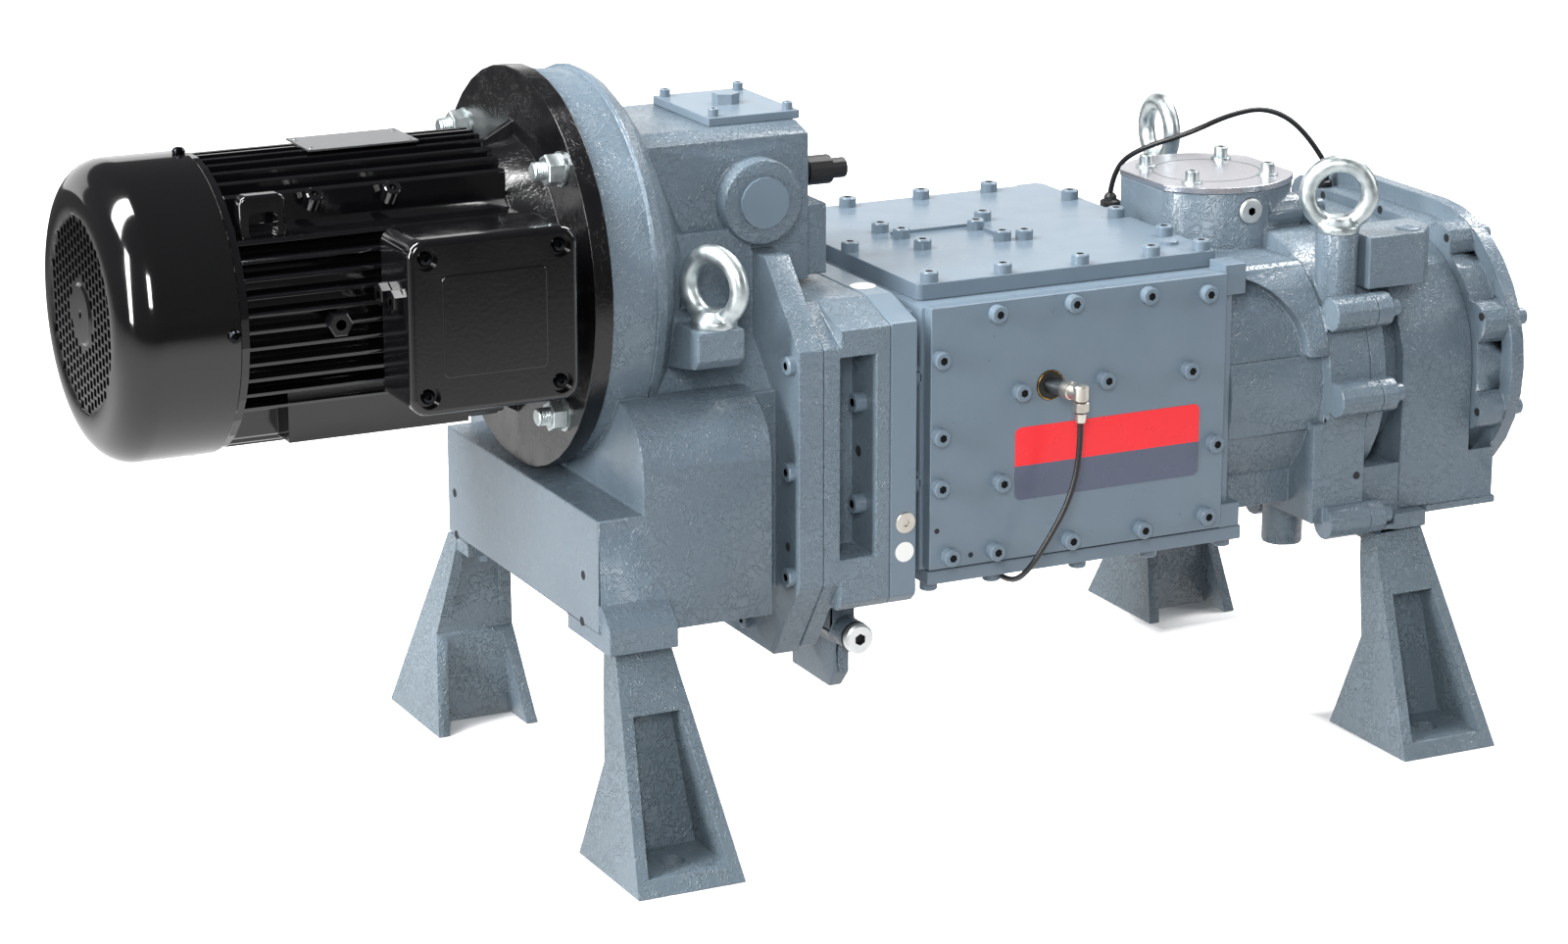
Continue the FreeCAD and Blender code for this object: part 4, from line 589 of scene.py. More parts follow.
# %% Studs, nuts and washers
STUD_R, ROOT_R, THREAD_PITCH = 7.8, 6.9, 1.5
NUT_CORNERS, NUT_HEIGHT, NUT_START = 27.8, 13, 11
WASHER_FACE = NUT_START + NUT_HEIGHT
bm = bmesh.new()
for island in islands("flange_studs"):
    low, high = extent(island)
    centre = Vector((low.x, (low.y + high.y) / 2, (low.z + high.z) / 2))
    length = (high.x - low.x) / MM
    outline = [(0, 0), (0, 6.4), (1.2, STUD_R)]
    for k in range(7):
        crest = 2.0 + THREAD_PITCH * k
        outline += [(crest, STUD_R), (crest + THREAD_PITCH / 2, ROOT_R)]
    outline += [(13, STUD_R), (length, STUD_R), (length, 0)]
    washer = [(WASHER_FACE, 8), (WASHER_FACE, 15), (WASHER_FACE + 2, 15), (WASHER_FACE + 2, 8)]
    nut_foot = centre + Vector((NUT_START * MM, 0, 0))
    stamp(bm, spin_outline(outline, 20), centre, RIGHT)
    stamp(bm, hexagon(NUT_CORNERS, NUT_HEIGHT, 7.9), nut_foot, RIGHT, turn=centre.y * 9)
    stamp(bm, spin_outline(washer, 28), centre, RIGHT)
finish_piece("motor_flange_studs", bm, zinc, ["flange_studs"])

# %% [markdown]
# **Lifting eyes.** An eye bolt is forged: the ring flows into its foot without a seam.
# A ring and a turned foot are put together roughly, a voxel remesh joins them into one
# skin, and smoothing lets the metal flow where they meet. The flat side of each eye is
# turned as the solid's is, which its farthest corner tells.

# %% Forged lifting eyes
EYE_HEIGHT, EYE_RING_R, EYE_WIRE_R, EYE_CENTRE = 71.2, 28, 8.2, 35
EYE_FOOT = [(0, 0), (0, 19), (0.8, 20), (7, 20), (9, 17.5), (12, 13.5), (15, 10.5), (15, 0)]


def forged_eye():
    bm = bmesh.new()
    ring = bmesh.ops.create_circle(bm, segments=20, radius=EYE_WIRE_R * MM, cap_ends=False)["verts"]
    bmesh.ops.rotate(bm, verts=ring, cent=(0, 0, 0), matrix=Matrix.Rotation(math.pi / 2, 3, "Y"))
    bmesh.ops.translate(bm, verts=ring, vec=(0, 0, EYE_RING_R * MM))
    bmesh.ops.spin(bm, geom=ring + rim_edges(bm, ring), cent=(0, 0, 0), axis=(0, 1, 0), angle=2 * math.pi,
                   steps=48, use_merge=True)
    bmesh.ops.remove_doubles(bm, verts=bm.verts[:], dist=0.00001)
    bmesh.ops.recalc_face_normals(bm, faces=bm.faces[:])
    bmesh.ops.translate(bm, verts=bm.verts[:], vec=(0, 0, EYE_CENTRE * MM))
    stamp(bm, spin_outline(EYE_FOOT, 40), (0, 0, 0), UP)
    blank = place_object("rough_eye", keep_mesh(bm, "rough_eye"))
    skin = blank.modifiers.new("one_skin", "REMESH")
    skin.mode = "VOXEL"
    skin.voxel_size = 0.0011
    flow = blank.modifiers.new("flow", "SMOOTH")
    flow.factor = 0.6
    flow.iterations = 7
    shape = with_modifiers(blank)
    bpy.data.objects.remove(blank)
    return shape


bm = bmesh.new()
eye = forged_eye()
for island in islands("lifting_eyes"):
    low, high = extent(island)
    axis = (low + high) / 2
    far = max(island, key=lambda p: (p.x - axis.x) ** 2 + (p.y - axis.y) ** 2)
    turn = math.atan2(far.y - axis.y, far.x - axis.x)
    seat = Matrix.Translation((axis.x, axis.y, high.z - EYE_HEIGHT * MM))
    paste(bm, eye, seat @ Matrix.Rotation(turn, 4, "Z"))
finish_piece("forged_lifting_eyes", bm, zinc, ["lifting_eyes"], sharp=60)

# %% [markdown]
# **Cutting.** Punched holes, sinks and drilled holes are what a cutter leaves, so they are
# made the same way: the cutters are put together in one mesh, and a Boolean takes them
# from the piece. Weighting the normals by face size keeps the flat faces flat.

# %% Cutting holes in a piece
def even_normals(piece):
    return piece.modifiers.new("even_normals", "WEIGHTED_NORMAL")


def cut_out(piece, cutters):
    tool = place_object("cutters", keep_mesh(cutters, "cutters"))
    cutting = piece.modifiers.new("cutting", "BOOLEAN")
    cutting.object = tool
    cutting.operation = "DIFFERENCE"
    cutting.solver = "EXACT"
    shape = with_modifiers(piece)
    piece.modifiers.clear()
    smooth_but_sharp(shape, 32)
    piece.data = shape
    bpy.data.objects.remove(tool)
    even_normals(piece).keep_sharp = True
    print(piece.name, "cut,", len(shape.polygons), "faces")


def add_box(bm, centre_mm, size_mm):
    made = bmesh.ops.create_cube(bm, size=1.0)["verts"]
    bmesh.ops.scale(bm, verts=made, vec=[s * MM for s in size_mm])
    bmesh.ops.translate(bm, verts=made, vec=[c * MM for c in centre_mm])


print("cutter ready")

# %% [markdown]
# **Fan cover.** The cover is a deep drawn sheet steel cap: a straight wall, a large
# round shoulder and a flat face with a punched grille. The cap is turned as a thin
# shell. The grille is a grid of square holes inside a circle, with a plain disc left
# whole in the middle.

# %% The cap of the fan cover and its punched grille
SHEET, SHOULDER_R, FACE_R = 2.4, 33, 85
GRILLE_PITCH, HALF_HOLE, GRILLE_R, HUB_R, PUNCH_DEPTH = 9.3, 3.5, 84.5, 30, 14
cover_low, cover_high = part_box("fan_cover")
cover_x = cover_low.x / MM
motor_z = (cover_low.z + cover_high.z) / 2
cover_r = (cover_high.z - cover_low.z) / 2 / MM
depth = (cover_high.x - cover_low.x) / MM
arc = [math.radians(a) for a in range(0, 91, 9)]
shoulder = [(SHOULDER_R * (1 - math.cos(a)), cover_r - SHOULDER_R * (1 - math.sin(a))) for a in arc]
face = [(0.6, 0), (0.6, 3), (0, 4), (0, 24), (1.6, 26.5), (1.6, 82), (0, FACE_R)]
outside = face + shoulder + [(depth - 1, cover_r), (depth, cover_r - 0.8), (depth, cover_r - SHEET)]
inside = [(h + SHEET, r - SHEET if r > FACE_R else r) for h, r in (face + shoulder)[::-1]]
bm = bmesh.new()
stamp(bm, spin_outline(outside + inside, 72), (cover_low.x, 0, motor_z), RIGHT)
bmesh.ops.recalc_face_normals(bm, faces=bm.faces[:])
fan_cap = finish_piece("drawn_fan_cover", bm, cover_paint, ["fan_cover"])

bm = bmesh.new()
count = int(GRILLE_R / GRILLE_PITCH) + 1
for i in range(-count, count + 1):
    for j in range(-count, count + 1):
        y, z = i * GRILLE_PITCH, (j + 0.5 * (i % 2)) * GRILLE_PITCH
        far_corner = math.hypot(abs(y) + HALF_HOLE, abs(z) + HALF_HOLE)
        if far_corner < GRILLE_R and math.hypot(y, z) > HUB_R:
            add_box(bm, (cover_x, y, motor_z / MM + z), (PUNCH_DEPTH, 2 * HALF_HOLE, 2 * HALF_HOLE))
add_box(bm, (cover_x, 0, motor_z / MM), (PUNCH_DEPTH, 4, 4))
cut_out(fan_cap, bm)

# %% [markdown]
# **Pan head screws.** The fan cover and the terminal box lid are held by pan heads. The
# head is a low dome with a small round sink, as the cross slot looks at this distance.

# %% Pan head screws on the fan cover and the terminal box
def pan_screw(radius, height):
    r, h = radius / MM, height / MM
    return spin_outline([(0, r), (h * 0.45, r), (h * 0.85, r * 0.78), (h, r * 0.45), (h, r * 0.3),
                         (h * 0.5, r * 0.12), (h * 0.5, 0)], 16)


bm = bmesh.new()
for island in islands("fan_cover_screws"):
    low, high = extent(island)
    middle = (low + high) / 2
    out = Vector((0, middle.y, middle.z - motor_z)).normalized()
    stamp(bm, pan_screw(0.0055, 0.0045), middle - out * 0.0025, out)
finish_piece("fan_cover_pan_screws", bm, black_steel, ["fan_cover_screws"])
lid_screws = pegs("terminal_box_screws", ALONG_Y)
bm = bmesh.new()
for foot, out, radius, height in lid_screws:
    stamp(bm, pan_screw(0.0062, 0.0042), foot - out * 0.0006, out)
finish_piece("terminal_box_pan_screws", bm, black_steel, ["terminal_box_screws"])

# %% [markdown]
# **Terminal box lid.** The lid is a die cast tray turned over the box. Its outline is a
# rectangle with rounded corners, drawn as a plain grid face whose corners are bevelled.
# A stack of such outlines, each a little smaller, gives the rounded front edge. Each
# corner has a round sink for its screw, and a low plain panel is raised on the face.

# %% A rounded outline, and solids made of a stack of them
def rounded_outline(bm, width_mm, height_mm, corner_mm, level_mm):
    others = set(bm.verts)
    made = bmesh.ops.create_grid(bm, x_segments=1, y_segments=1, size=0.5)["verts"]
    bmesh.ops.scale(bm, verts=made, vec=(width_mm * MM, height_mm * MM, 1))
    bmesh.ops.bevel(bm, geom=made, offset=corner_mm * MM, segments=5, profile=0.5, affect="VERTICES",
                    material=-1)
    verts = [v for v in bm.verts if v not in others]
    bmesh.ops.translate(bm, verts=verts, vec=(0, 0, level_mm * MM))
    bmesh.ops.delete(bm, geom=[f for f in bm.faces if f.verts[0] in verts], context="FACES_ONLY")
    return verts


def rounded_slab(width_mm, height_mm, corner_mm, thick_mm, edge_mm, steps=4):
    # lies in the XY plane, with its front edge rounded at the top of its own Z
    bm = bmesh.new()
    stack = [rounded_outline(bm, width_mm, height_mm, corner_mm, 0)]
    for k in range(steps + 1):
        turn = math.pi / 2 * k / steps
        inset = edge_mm * (1 - math.cos(turn))
        level = thick_mm - edge_mm + edge_mm * math.sin(turn)
        smaller = width_mm - 2 * inset, height_mm - 2 * inset, corner_mm - inset
        stack.append(rounded_outline(bm, *smaller, level))
    join_rings(bm, stack)
    for end in (stack[0], stack[-1]):
        bmesh.ops.contextual_create(bm, geom=rim_edges(bm, end))
    bmesh.ops.recalc_face_normals(bm, faces=bm.faces[:])
    return bm


def facing_front(bm, x_mm, y_mm, z_mm):
    # turns a slab from the XY plane to the front of the pump, with its back at y_mm
    place = Matrix.Translation((x_mm * MM, y_mm * MM, z_mm * MM)) @ Matrix.Rotation(math.pi / 2, 4, "X")
    bmesh.ops.transform(bm, matrix=place, verts=bm.verts[:])
    return bm


lid_low, lid_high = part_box("terminal_box_lid")
lid_x, lid_z = (lid_low.x + lid_high.x) / 2 / MM, (lid_low.z + lid_high.z) / 2 / MM
wide, tall, deep = [(lid_high[k] - lid_low[k]) / MM for k in (ALONG_X, ALONG_Z, ALONG_Y)]
bm = facing_front(rounded_slab(wide, tall, 15, deep, 5.5), lid_x, lid_high.y / MM, lid_z)
lid = finish_piece("terminal_box_lid_casting", bm, motor_paint, ["terminal_box_lid"])
SINK_R, SINK_DEPTH = 9.6, 12
bm = bmesh.new()
for foot, out, radius, height in lid_screws:
    stamp(bm, spin_outline([(0, 0), (0, SINK_R), (SINK_DEPTH, SINK_R), (SINK_DEPTH, 0)], 32), foot, out)
cut_out(lid, bm)
bm = facing_front(rounded_slab(92, 86, 5, 2.2, 1.2, 3), lid_x, lid_low.y / MM + 1.2, lid_z)
even_normals(finish_piece("terminal_box_lid_panel", bm, motor_paint, rides_with="terminal_box_lid"))

# %% [markdown]
# **Plugs.** The drain plug and the inlet side plug are bright steel discs with a hexagon
# socket. The cap screw pattern already is a disc with a socket, so a wide and low one
# serves here. Each plug sits in a dark sealing ring. The two entries of the terminal box
# that are not used are closed by hexagon plugs.

# %% Bright socket plugs with their seals, and the plugs of the cable entries
for node, share, proud in (("oil_drain_plug", 0.36, 0.0055), ("inlet_side_plug", 0.3, 0.0012)):
    bm, seal = bmesh.new(), bmesh.new()
    for foot, out, radius, height in pegs(node, ALONG_Y):
        stamp(bm, cap_screw(radius * 0.96, height, share, 40), foot, out)
        stamp(seal, cap_screw(radius, height - proud, 0.3, 40), foot, out)
    finish_piece("bright_" + node, bm, bright_steel, [node])
    finish_piece("seal_of_" + node, seal, seal_rubber, rides_with=node)
bm = bmesh.new()
for foot, out, radius, height in pegs("cable_entry_plugs", ALONG_X):
    stamp(bm, hexagon(2 * radius / MM, height / MM, 3.2), foot, out)
    stamp(bm, spin_outline([(0, 3.3), (3, 3.3), (3, 0)], 12), foot + out * (height - 0.004), out)
finish_piece("cable_entry_hexagon_plugs", bm, motor_paint, ["cable_entry_plugs"])

# %% [markdown]
# **Sensors.** The front sensor is a dark steel barrel that leaves the cover through a
# sealed hole with a brass bush, and a nickel plated elbow plug hangs on its end. The
# second one stands on the end ring, and its plug is a straight black one. A gland
# takes each cable into the pump.

# %% Sensor barrels with their plugs, and the two glands
def add_turned(bm, parts):
    # parts: a place in millimetres, the outward direction, and an outline of (height, radius)
    for place_mm, out, outline in parts:
        stamp(bm, spin_outline(outline), Vector(place_mm) * MM, Vector(out).normalized())


def turned_group(name, finish, parts, stands_for=(), rides_with=None):
    bm = bmesh.new()
    add_turned(bm, parts)
    finish_piece(name, bm, finish, stands_for, rides_with)


SENSOR_X, SENSOR_Z, PLUG_X, PLUG_Y = 8.6, 372.0, 18.6, -230.3
cover_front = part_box("front_side_cover")[0].y / MM
root = Vector((SENSOR_X, cover_front + 0.5, SENSOR_Z))
lean = Vector((PLUG_X - SENSOR_X, PLUG_Y - cover_front, 0)).normalized()
elbow = Vector((SENSOR_X, cover_front, SENSOR_Z)) + lean * 17
# the black seal disc round the barrel also stands for the dark depth of the hole, as painted shade
for name, finish, out, outline in (
        ("sensor_hole", seal_rubber, FRONT, [(0, 0), (0.7, 0), (0.7, 13)]),
        ("sensor_bush", brass, FRONT, [(0, 13.2), (1.2, 13.2), (1.6, 12.8), (1.2, 12.2), (0, 12.2)]),
        ("sensor_barrel", dull_steel, lean, [(0, 0), (0, 7), (17, 7), (18, 6.2), (18, 0)])):
    turned_group(name, finish, [(root, out, outline)], rides_with="temperature_sensors")
bm = bmesh.new()
add_turned(bm, [
    (elbow, lean, [(0, 0), (0, 7.6), (1, 8.2), (9, 8.2), (9.8, 7.2), (20, 7.2), (21.4, 6.2), (21.8, 4.8),
                   (21.8, 0)]),
    ((PLUG_X, PLUG_Y, SENSOR_Z - 6.5), UP, [(0, 0), (0, 6.4), (1, 7.2), (12, 7.2), (13.4, 6), (13.8, 0)]),
    ((PLUG_X, PLUG_Y, SENSOR_Z - 26), UP, [(0, 0), (0, 4.4), (8, 5.6), (9, 0)]),
])
stamp(bm, hexagon(14.4, 9, 3), Vector((PLUG_X, PLUG_Y, SENSOR_Z - 17)) * MM, UP)
finish_piece("sensor_elbow_plug", bm, nickel, ["temperature_sensors"])
turned_group("end_sensor", black_nylon, [((480, 100, 444), UP, [
    (0, 0), (0, 7.6), (1, 8), (9, 8), (10, 6.2), (12, 6), (24, 6), (26, 5), (28, 3), (28, 0)])],
    rides_with="temperature_sensors")
turned_group("cable_gland_domes", black_nylon, [
    ((283, 173, 430), UP, [(0, 0), (0, 9.4), (1, 10), (8, 10), (9, 9), (10, 6.4), (13, 6.2), (16, 4),
                           (16, 0)]),
    ((-21.4, -110.5, 192), FRONT, [(0, 0), (0, 8), (17.6, 8), (18, 6.4), (24, 6), (25.6, 4), (25.6, 0)]),
], ["cable_glands"])

# %% [markdown]
# ** Cables.** A cable is one smooth curve through given points, with a real radius.
# Here the curve is a NURBS line that starts and ends on its first and last point. The
# front one hangs in an arc and goes back under the pump. The rear one stands up in an
# arch behind the lifting eye, held by its own stiffness.

# %% The two sensor cables
CABLE_DIAMETER = 0.0052


def run_cable(name, node, points_mm):
    curve = bpy.data.curves.new(name, "CURVE")
    curve.dimensions = "3D"
    curve.bevel_depth = CABLE_DIAMETER / 2
    curve.bevel_resolution = 5
    curve.resolution_u = 12
    curve.use_fill_caps = True
    line = curve.splines.new("NURBS")
    line.points.add(len(points_mm) - 1)
    for point, place in zip(line.points, points_mm):
        point.co = (place[0] * MM, place[1] * MM, place[2] * MM, 1)
    line.order_u = 3
    line.use_endpoint_u = True
    curve.materials.append(cable_jacket)
    cable = place_object(name, curve)
    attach(cable, nodes[node]["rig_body"])
    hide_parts(node)
    return cable


def run_length(points_mm):
    # the length of a quadratic NURBS line that keeps its ends, measured along fine steps
    total, last = 0, Vector(points_mm[0])
    spots = [Vector(p) for p in points_mm]
    for k in range(1, len(spots) - 1):
        a = spots[0] if k == 1 else (spots[k - 1] + spots[k]) / 2
        b = spots[-1] if k == len(spots) - 2 else (spots[k] + spots[k + 1]) / 2
        for n in range(1, 21):
            t = n / 20
            here = a * (1 - t) ** 2 + spots[k] * 2 * t * (1 - t) + b * t ** 2
            total += (here - last).length
            last = here
    return total


front_route = [(18.6, -230.3, 344), (18.6, -230.3, 312), (9.6, -229.3, 276), (-8.4, -227.3, 244),
               (-22.4, -218.3, 215), (-23.4, -194.3, 197), (-21.4, -166.3, 192), (-21.4, -136.3, 192)]
rear_route = [(283, 173, 446.5), (284, 168, 472), (296, 143, 494), (330, 108, 512), (372, 100, 529),
              (415, 100, 532), (457, 100, 507), (480, 100, 473.5)]
for name, node, route in (("front_sensor_lead", "front_sensor_cable", front_route),
                          ("rear_sensor_lead", "rear_sensor_cable", rear_route)):
    cable = run_cable(name, node, route)
    run_length(route) * MM
    print(name, round(run_length(route)), "mm long")

# %% [markdown]
# **Labels.** The side cover carries a wide printed label, red above dark grey. It is
# kept plain here, without any words. Film is a fraction of a millimetre thick, so one
# thin plate with rounded corners is enough. A cut across it parts the two colours.

# %% The plain two tone label and the bare stickers
LABEL_LEFT, LABEL_RIGHT, LABEL_LOW, LABEL_SPLIT, LABEL_HIGH = -26, 162, 271, 302, 337
bm = rounded_slab(LABEL_RIGHT - LABEL_LEFT, LABEL_HIGH - LABEL_LOW, 6, 0.5, 0.1, 1)
facing_front(bm, (LABEL_LEFT + LABEL_RIGHT) / 2, cover_front + 0.1, (LABEL_LOW + LABEL_HIGH) / 2)
bmesh.ops.bisect_plane(bm, geom=bm.verts[:] + bm.edges[:] + bm.faces[:], plane_co=(0, 0, LABEL_SPLIT * MM),
                       plane_no=UP)
for film in bm.faces:
    film.material_index = 1 if film.calc_center_median().z < LABEL_SPLIT * MM else 0
finish_piece("plain_two_tone_label", bm, red_film, rides_with="front_side_cover", second=grey_film)
turned_group("bare_round_stickers", white_film, [
    ((-135.6, -195.9, 239.5), FRONT, [(0, 9), (0.4, 9), (0.4, 0)]),
    ((-137, -117, 460), UP, [(0, 11.5), (0.5, 11.5), (0.9, 10.5), (0.9, 0)]),
], rides_with="middle_plate")

# %% [markdown]
# ** Small things.** A machine is full of blind plugs, tapped holes, bosses and lugs. Each
# is a turned outline or a hexagon at the place where the picture shows it. A tapped hole
# is shown by a dark disc a fifth of a millimetre proud, painted shade for its depth, which is black at this
# size.

# %% Plugs, tapped holes, bosses and the motor's lug
def mark_holes(name, node, out, radius_mm, places_mm):
    # a dark disc of painted shade stands for the depth of each hole
    disc = [(-0.5, radius_mm), (0.2, radius_mm), (0.2, 0)]
    turned_group(name, painted_hollow_shade, [(place, out, disc) for place in places_mm], rides_with=node)


mark_holes("tapped_holes_in_the_gearbox", "gearbox_housing", LEFT, 4, (
    (-425, 130, 245), (-425, 128, 206), (-425, -162, 249), (-425, -158, 207), (-238, -174.5, 252)))
mark_holes("tapped_holes_in_the_ring", "end_ring_cover", LEFT, 4, (
    (467, -190, 382), (467, -190, 291), (467, -129.5, 444), (467, -19, 449), (467, 79, 444)))
mark_holes("pin_holes_in_the_cover", "front_side_cover", FRONT, 2.4, (
    (-103, cover_front, 253.3), (-69.1, cover_front, 227.2)))
mark_holes("tapped_hole_in_the_inlet_flange", "inlet_housing", FRONT, 3.6, ((335.6, -190, 246.7),))
mark_holes("pin_hole_in_the_slot", "head_plate", LEFT, 5, ((-164, -162.9, 325.9),))

for name, finish, node, out, outline, places in (
        ("engraved_ring_on_the_inlet_plate", dull_steel, "inlet_cover_plate", UP,
         [(0, 51), (0.12, 51), (0.12, 50), (0, 50)], [(284, 0, 501)]),
        ("flat_plugs", fine_enamel, "end_bearing_plate", UP,
         [(0, 12), (1.2, 12), (1.8, 11), (1.8, 5), (0.8, 4), (0.8, 0)], [(399, -165, 467.6)]),
        ("blind_plug_on_top_cover", fine_enamel, "top_cover", UP,
         [(0, 9), (0.6, 9), (0.6, 8), (3, 8), (3.6, 7.2), (3.6, 0)], [(173, -118, 466.2)]),
        ("blind_plug_on_middle_plate", nickel, "middle_plate", FRONT,
         [(0, 9.5), (1.4, 9.5), (2, 8.8), (2, 3.4), (0.6, 3), (0.6, 0)], [(-135, -195.6, 266)]),
        ("nameplate_rivets", plate_steel, "motor_nameplate", UP,
         [(0, 2.6), (0.6, 2.4), (1.2, 1.4), (1.4, 0)],
         [(x, y, 607.3) for x in (-605, -517) for y in (-20, 20)]),
        ("motor_bosses", motor_paint, "motor_frame", (0, -0.67, 0.74),
         [(-14, 7), (0, 7), (1, 6), (1, 3.2), (-2, 3), (-2, 0)], [(-628, -90, 584), (-560, -90, 583)])):
    turned_group(name, finish, [(place, out, outline) for place in places], rides_with=node)

BOSS_X, BOSS_Z, LUG_X = -622.9, 481.9, -675
bm = bmesh.new()
stamp(bm, hexagon(22, 14, 4.6), Vector((BOSS_X, -116, BOSS_Z)) * MM, FRONT, turn=math.pi / 6)
stamp(bm, spin_outline([(0, 4.7), (2, 4.7), (2, 0)], 12), Vector((BOSS_X, -119, BOSS_Z)) * MM, FRONT)
finish_piece("motor_hexagon_boss", bm, motor_paint, rides_with="motor_frame")
bm = facing_front(rounded_slab(40, 40, 7, 12, 3, 3), LUG_X, -84, 569)
lug = finish_piece("motor_lug", bm, motor_paint, rides_with="motor_frame")
cut_out(lug, facing_front(rounded_slab(25, 21, 5, 24, 0.5, 1), LUG_X, -78, 564))

# the milled groove in the top cover
GROOVE, GROOVE_DEPTH, COVER_TOP = 2.6, 6, 466.5
bm = bmesh.new()
add_box(bm, (3, 24, COVER_TOP), (78, GROOVE, GROOVE_DEPTH))
add_box(bm, (50, -5, COVER_TOP), (GROOVE, 56, GROOVE_DEPTH))
cut_out(bpy.data.objects["soft_top_cover"], bm)
print("small things in place")

# %% [markdown]
# **Camera.** The picture was taken with a long lens, a little above the pump and to the
# left of its middle. The numbers were solved from the flange circle, the feet and the
# cover corners in the photograph.

# %% The camera at the photograph's place
AZIMUTH, ELEVATION, ROLL = math.radians(-26.1156), math.radians(16.0486), math.radians(-0.072)
CAMERA_PLACE = (-1.76568, -3.28323, 1.31569)
FOCAL_PIXELS, PHOTO_WIDTH_PIXELS, SENSOR_MM = 4285.32, 1600, 36
camera_data = bpy.data.cameras.new("camera")
camera_data.sensor_width = SENSOR_MM
camera_data.lens = FOCAL_PIXELS * SENSOR_MM / PHOTO_WIDTH_PIXELS
camera_data.clip_end = 100
camera = place_object("camera", camera_data)
back = Vector((math.sin(AZIMUTH) * math.cos(ELEVATION), -math.cos(AZIMUTH) * math.cos(ELEVATION),
               math.sin(ELEVATION)))
camera.rotation_mode = "QUATERNION"
camera.rotation_quaternion = (-back).to_track_quat("-Z", "Y") @ Matrix.Rotation(ROLL, 3, "Z").to_quaternion()
camera.location = CAMERA_PLACE
bpy.context.scene.camera = camera
print("lens", round(camera_data.lens, 1), "mm")

# %% [markdown]
# ** Floor.** A catalogue picture has a white floor that runs on behind the product. It is
# lit like the pump, and a little of its own light, seen only by the camera, brings it to
# paper white. Under the feet the paper doesn't glow, a painted shade so that the bolt holes
# look dark. Light bounces off the paper as if it were grey, which keeps the undersides and
# the deep slots dark. Gloss paint sees a painted reflection: the floor glows for it, bright
# near the pump and fading with the distance.

# %% The paper floor
FLOOR_GLOW, FLOOR_HALF, FLOOR_DROP = 0.62, 20, 0.0005


def mix(tree, share, first, second):
    return add_node(tree, "MixShader", links={0: share, 1: first, 2: second}).outputs[0]


def foot_shade_mask(tree, spot):
    # 0 under the four feet for a painted shade, 1 beside them; one foot is mirrored to all four corners
    mirrored = add_node(tree, "VectorMath", links={0: spot}, operation="ABSOLUTE")
    low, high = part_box("rear_right_leg")
    middle = [(low[k] + high[k]) / 2 for k in (ALONG_X, ALONG_Y)] + [0]
    offset = add_node(tree, "VectorMath", {1: middle}, {0: mirrored.outputs[0]}, operation="SUBTRACT")
    apart = add_node(tree, "VectorMath", links={0: offset.outputs[0]}, operation="ABSOLUTE")
    reach = add_node(tree, "SeparateXYZ", links={0: apart.outputs[0]})
    outside = [compute(tree, "SUBTRACT", reach.outputs[k], (high[k] - low[k]) / 2)
               for k in (ALONG_X, ALONG_Y)]
    return remap(tree, compute(tree, "MAXIMUM", *outside), -0.004, 0.012)


bm = bmesh.new()
bmesh.ops.create_grid(bm, x_segments=1, y_segments=1, size=FLOOR_HALF)
bmesh.ops.translate(bm, verts=bm.verts[:], vec=(0, 0, -FLOOR_DROP))
floor = place_object("studio_floor", keep_mesh(bm, "studio_floor"))
paper = bpy.data.materials.new("white_paper_floor")
paper.use_nodes = True
tree = paper.node_tree
tree.nodes.clear()
rays = add_node(tree, "LightPath").outputs
spot = add_node(tree, "TexCoord").outputs["Object"]
white_paper = add_node(tree, "BsdfDiffuse", {"Color": colour("#f2f2f2")}).outputs[0]
grey_paper = add_node(tree, "BsdfDiffuse", {"Color": colour("#a0a0a0")}).outputs[0]
squeezed = add_node(tree, "Mapping", {"Scale": (0.6, 1, 1)}, {"Vector": spot}).outputs[0]
far = add_node(tree, "VectorMath", links={0: squeezed}, operation="LENGTH").outputs["Value"]
glow = compute(tree, "MULTIPLY", remap(tree, far, 1.2, 4.0, FLOOR_GLOW, 1.0), foot_shade_mask(tree, spot))
own_light = add_node(tree, "Emission", links={"Strength": glow}).outputs[0]
# for glossy rays the floor is a glow of its own: a painted reflection that fades with the distance
reflected_glow_strength = remap(tree, far, 0.9, 2.6, 1.3, 0.1, smooth=True)
floor_glow_in_reflections = add_node(tree, "Emission", links={"Strength": reflected_glow_strength}).outputs[0]
seen_floor = add_node(tree, "AddShader", links={0: white_paper, 1: own_light}).outputs[0]
lit = mix(tree, rays["Is Camera Ray"], grey_paper, seen_floor)
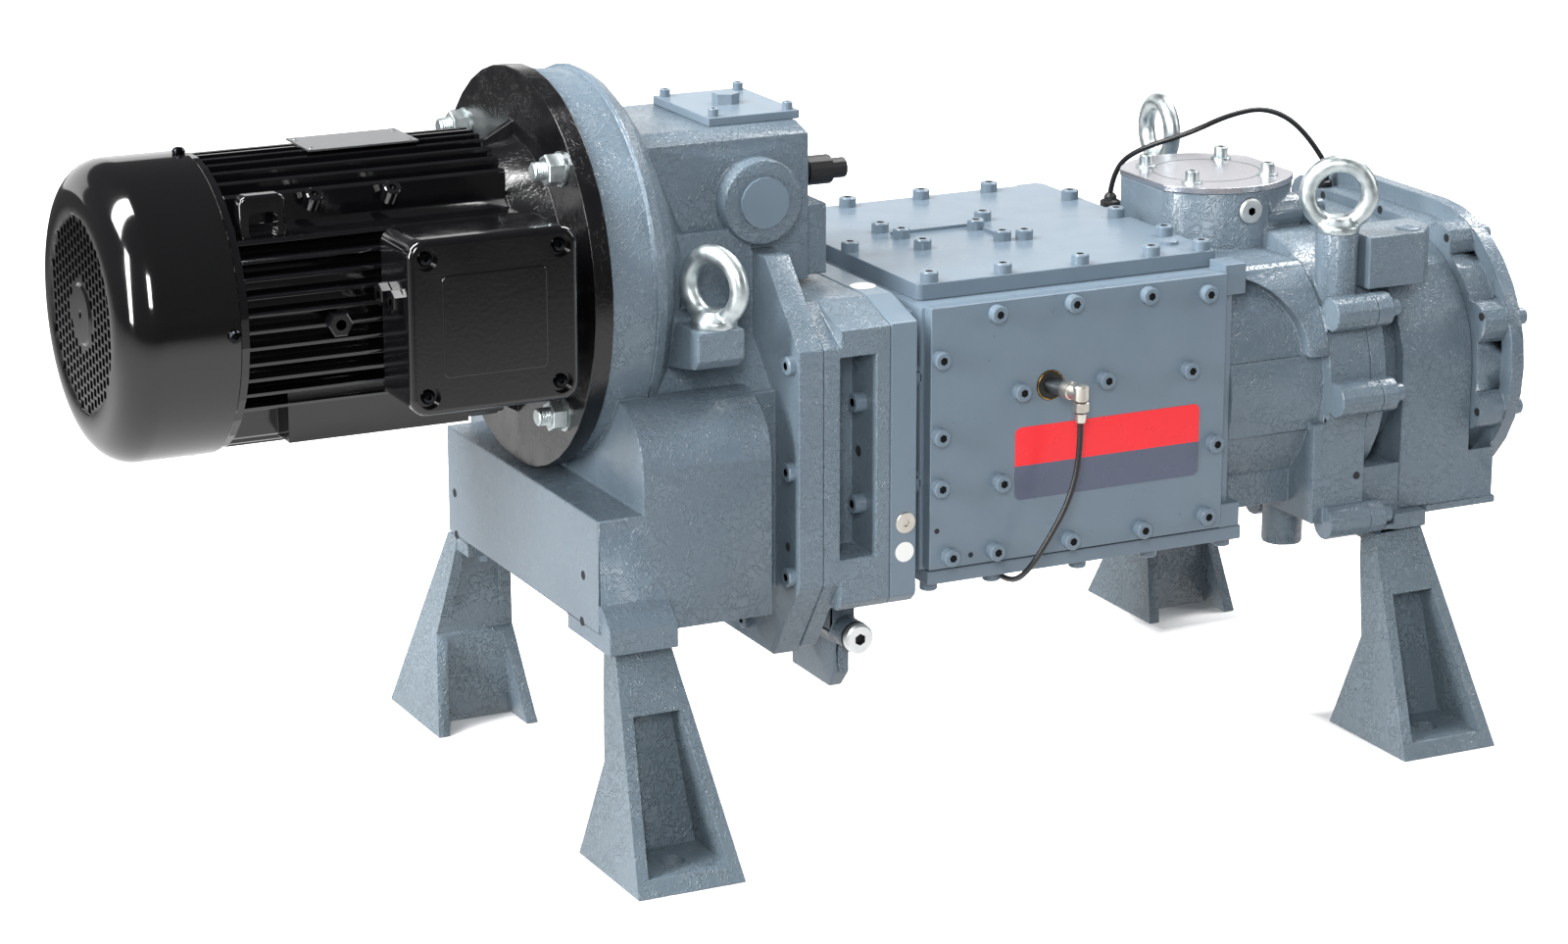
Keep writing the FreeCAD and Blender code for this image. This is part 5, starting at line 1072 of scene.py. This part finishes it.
add_node(tree, "OutputMaterial", links={"Surface": mix(tree, rays["Is Glossy Ray"], lit, floor_glow_in_reflections)})
floor.data.materials.append(paper)
print("floor", 2 * FLOOR_HALF, "m wide")

# %% [markdown]
# **Studio.** The room itself is dark, so that gloss black stays black, and soft lamps
# draw crisp lights on it. The camera alone sees the room as pure white: a Light Path
# node tells the camera's rays from the rays that light or mirror.

# %% World and lamps
ROOM_LIGHT, ROOM_MIRRORED = 0.3, 0.12
ROOM_COLOUR, WHITE = (0.96, 0.98, 1.0, 1), (1, 1, 1, 1)
LAMPS_AIM = Vector((0, 0, 0.33))
world = bpy.data.worlds.new("studio_world")
bpy.context.scene.world = world
world.use_nodes = True
tree = world.node_tree
tree.nodes.clear()
rays = add_node(tree, "LightPath").outputs
room, mirrored_room, white_room = [
    add_node(tree, "Background", {"Color": shade, "Strength": strength}).outputs[0]
    for shade, strength in ((ROOM_COLOUR, ROOM_LIGHT), (ROOM_COLOUR, ROOM_MIRRORED), (WHITE, 1.0))]
dark_room = mix(tree, rays["Is Glossy Ray"], room, mirrored_room)
add_node(tree, "OutputWorld", links={"Surface": mix(tree, rays["Is Camera Ray"], dark_room, white_room)})
for name, place, size, power in (
        ("top_left_strip", (-1.6, 0.2, 2.3), (0.6, 1.8), 112),
        ("top_right_softbox", (1.6, 0.5, 2.5), (1.0, 1.6), 78),
        ("front_strip", (-1.7, -3.0, 1.9), (0.5, 1.4), 86),
        ("left_strip", (-3.0, -0.6, 1.2), (0.4, 1.8), 104),
        ("right_softbox", (2.9, -1.6, 1.5), (1.2, 1.6), 30),
        ("back_wall", (0.3, 3.4, 1.1), (6.0, 1.6), 38)):
    light = bpy.data.lights.new(name, "AREA")
    light.shape = "RECTANGLE"
    light.size, light.size_y = size
    light.energy = power
    lamp = place_object(name, light)
    lamp.location = place
    lamp.rotation_mode = "QUATERNION"
    lamp.rotation_quaternion = (LAMPS_AIM - Vector(place)).to_track_quat("-Z", "Y")
    print(name, power, "W")
bpy.context.scene.view_settings.view_transform = "Standard"
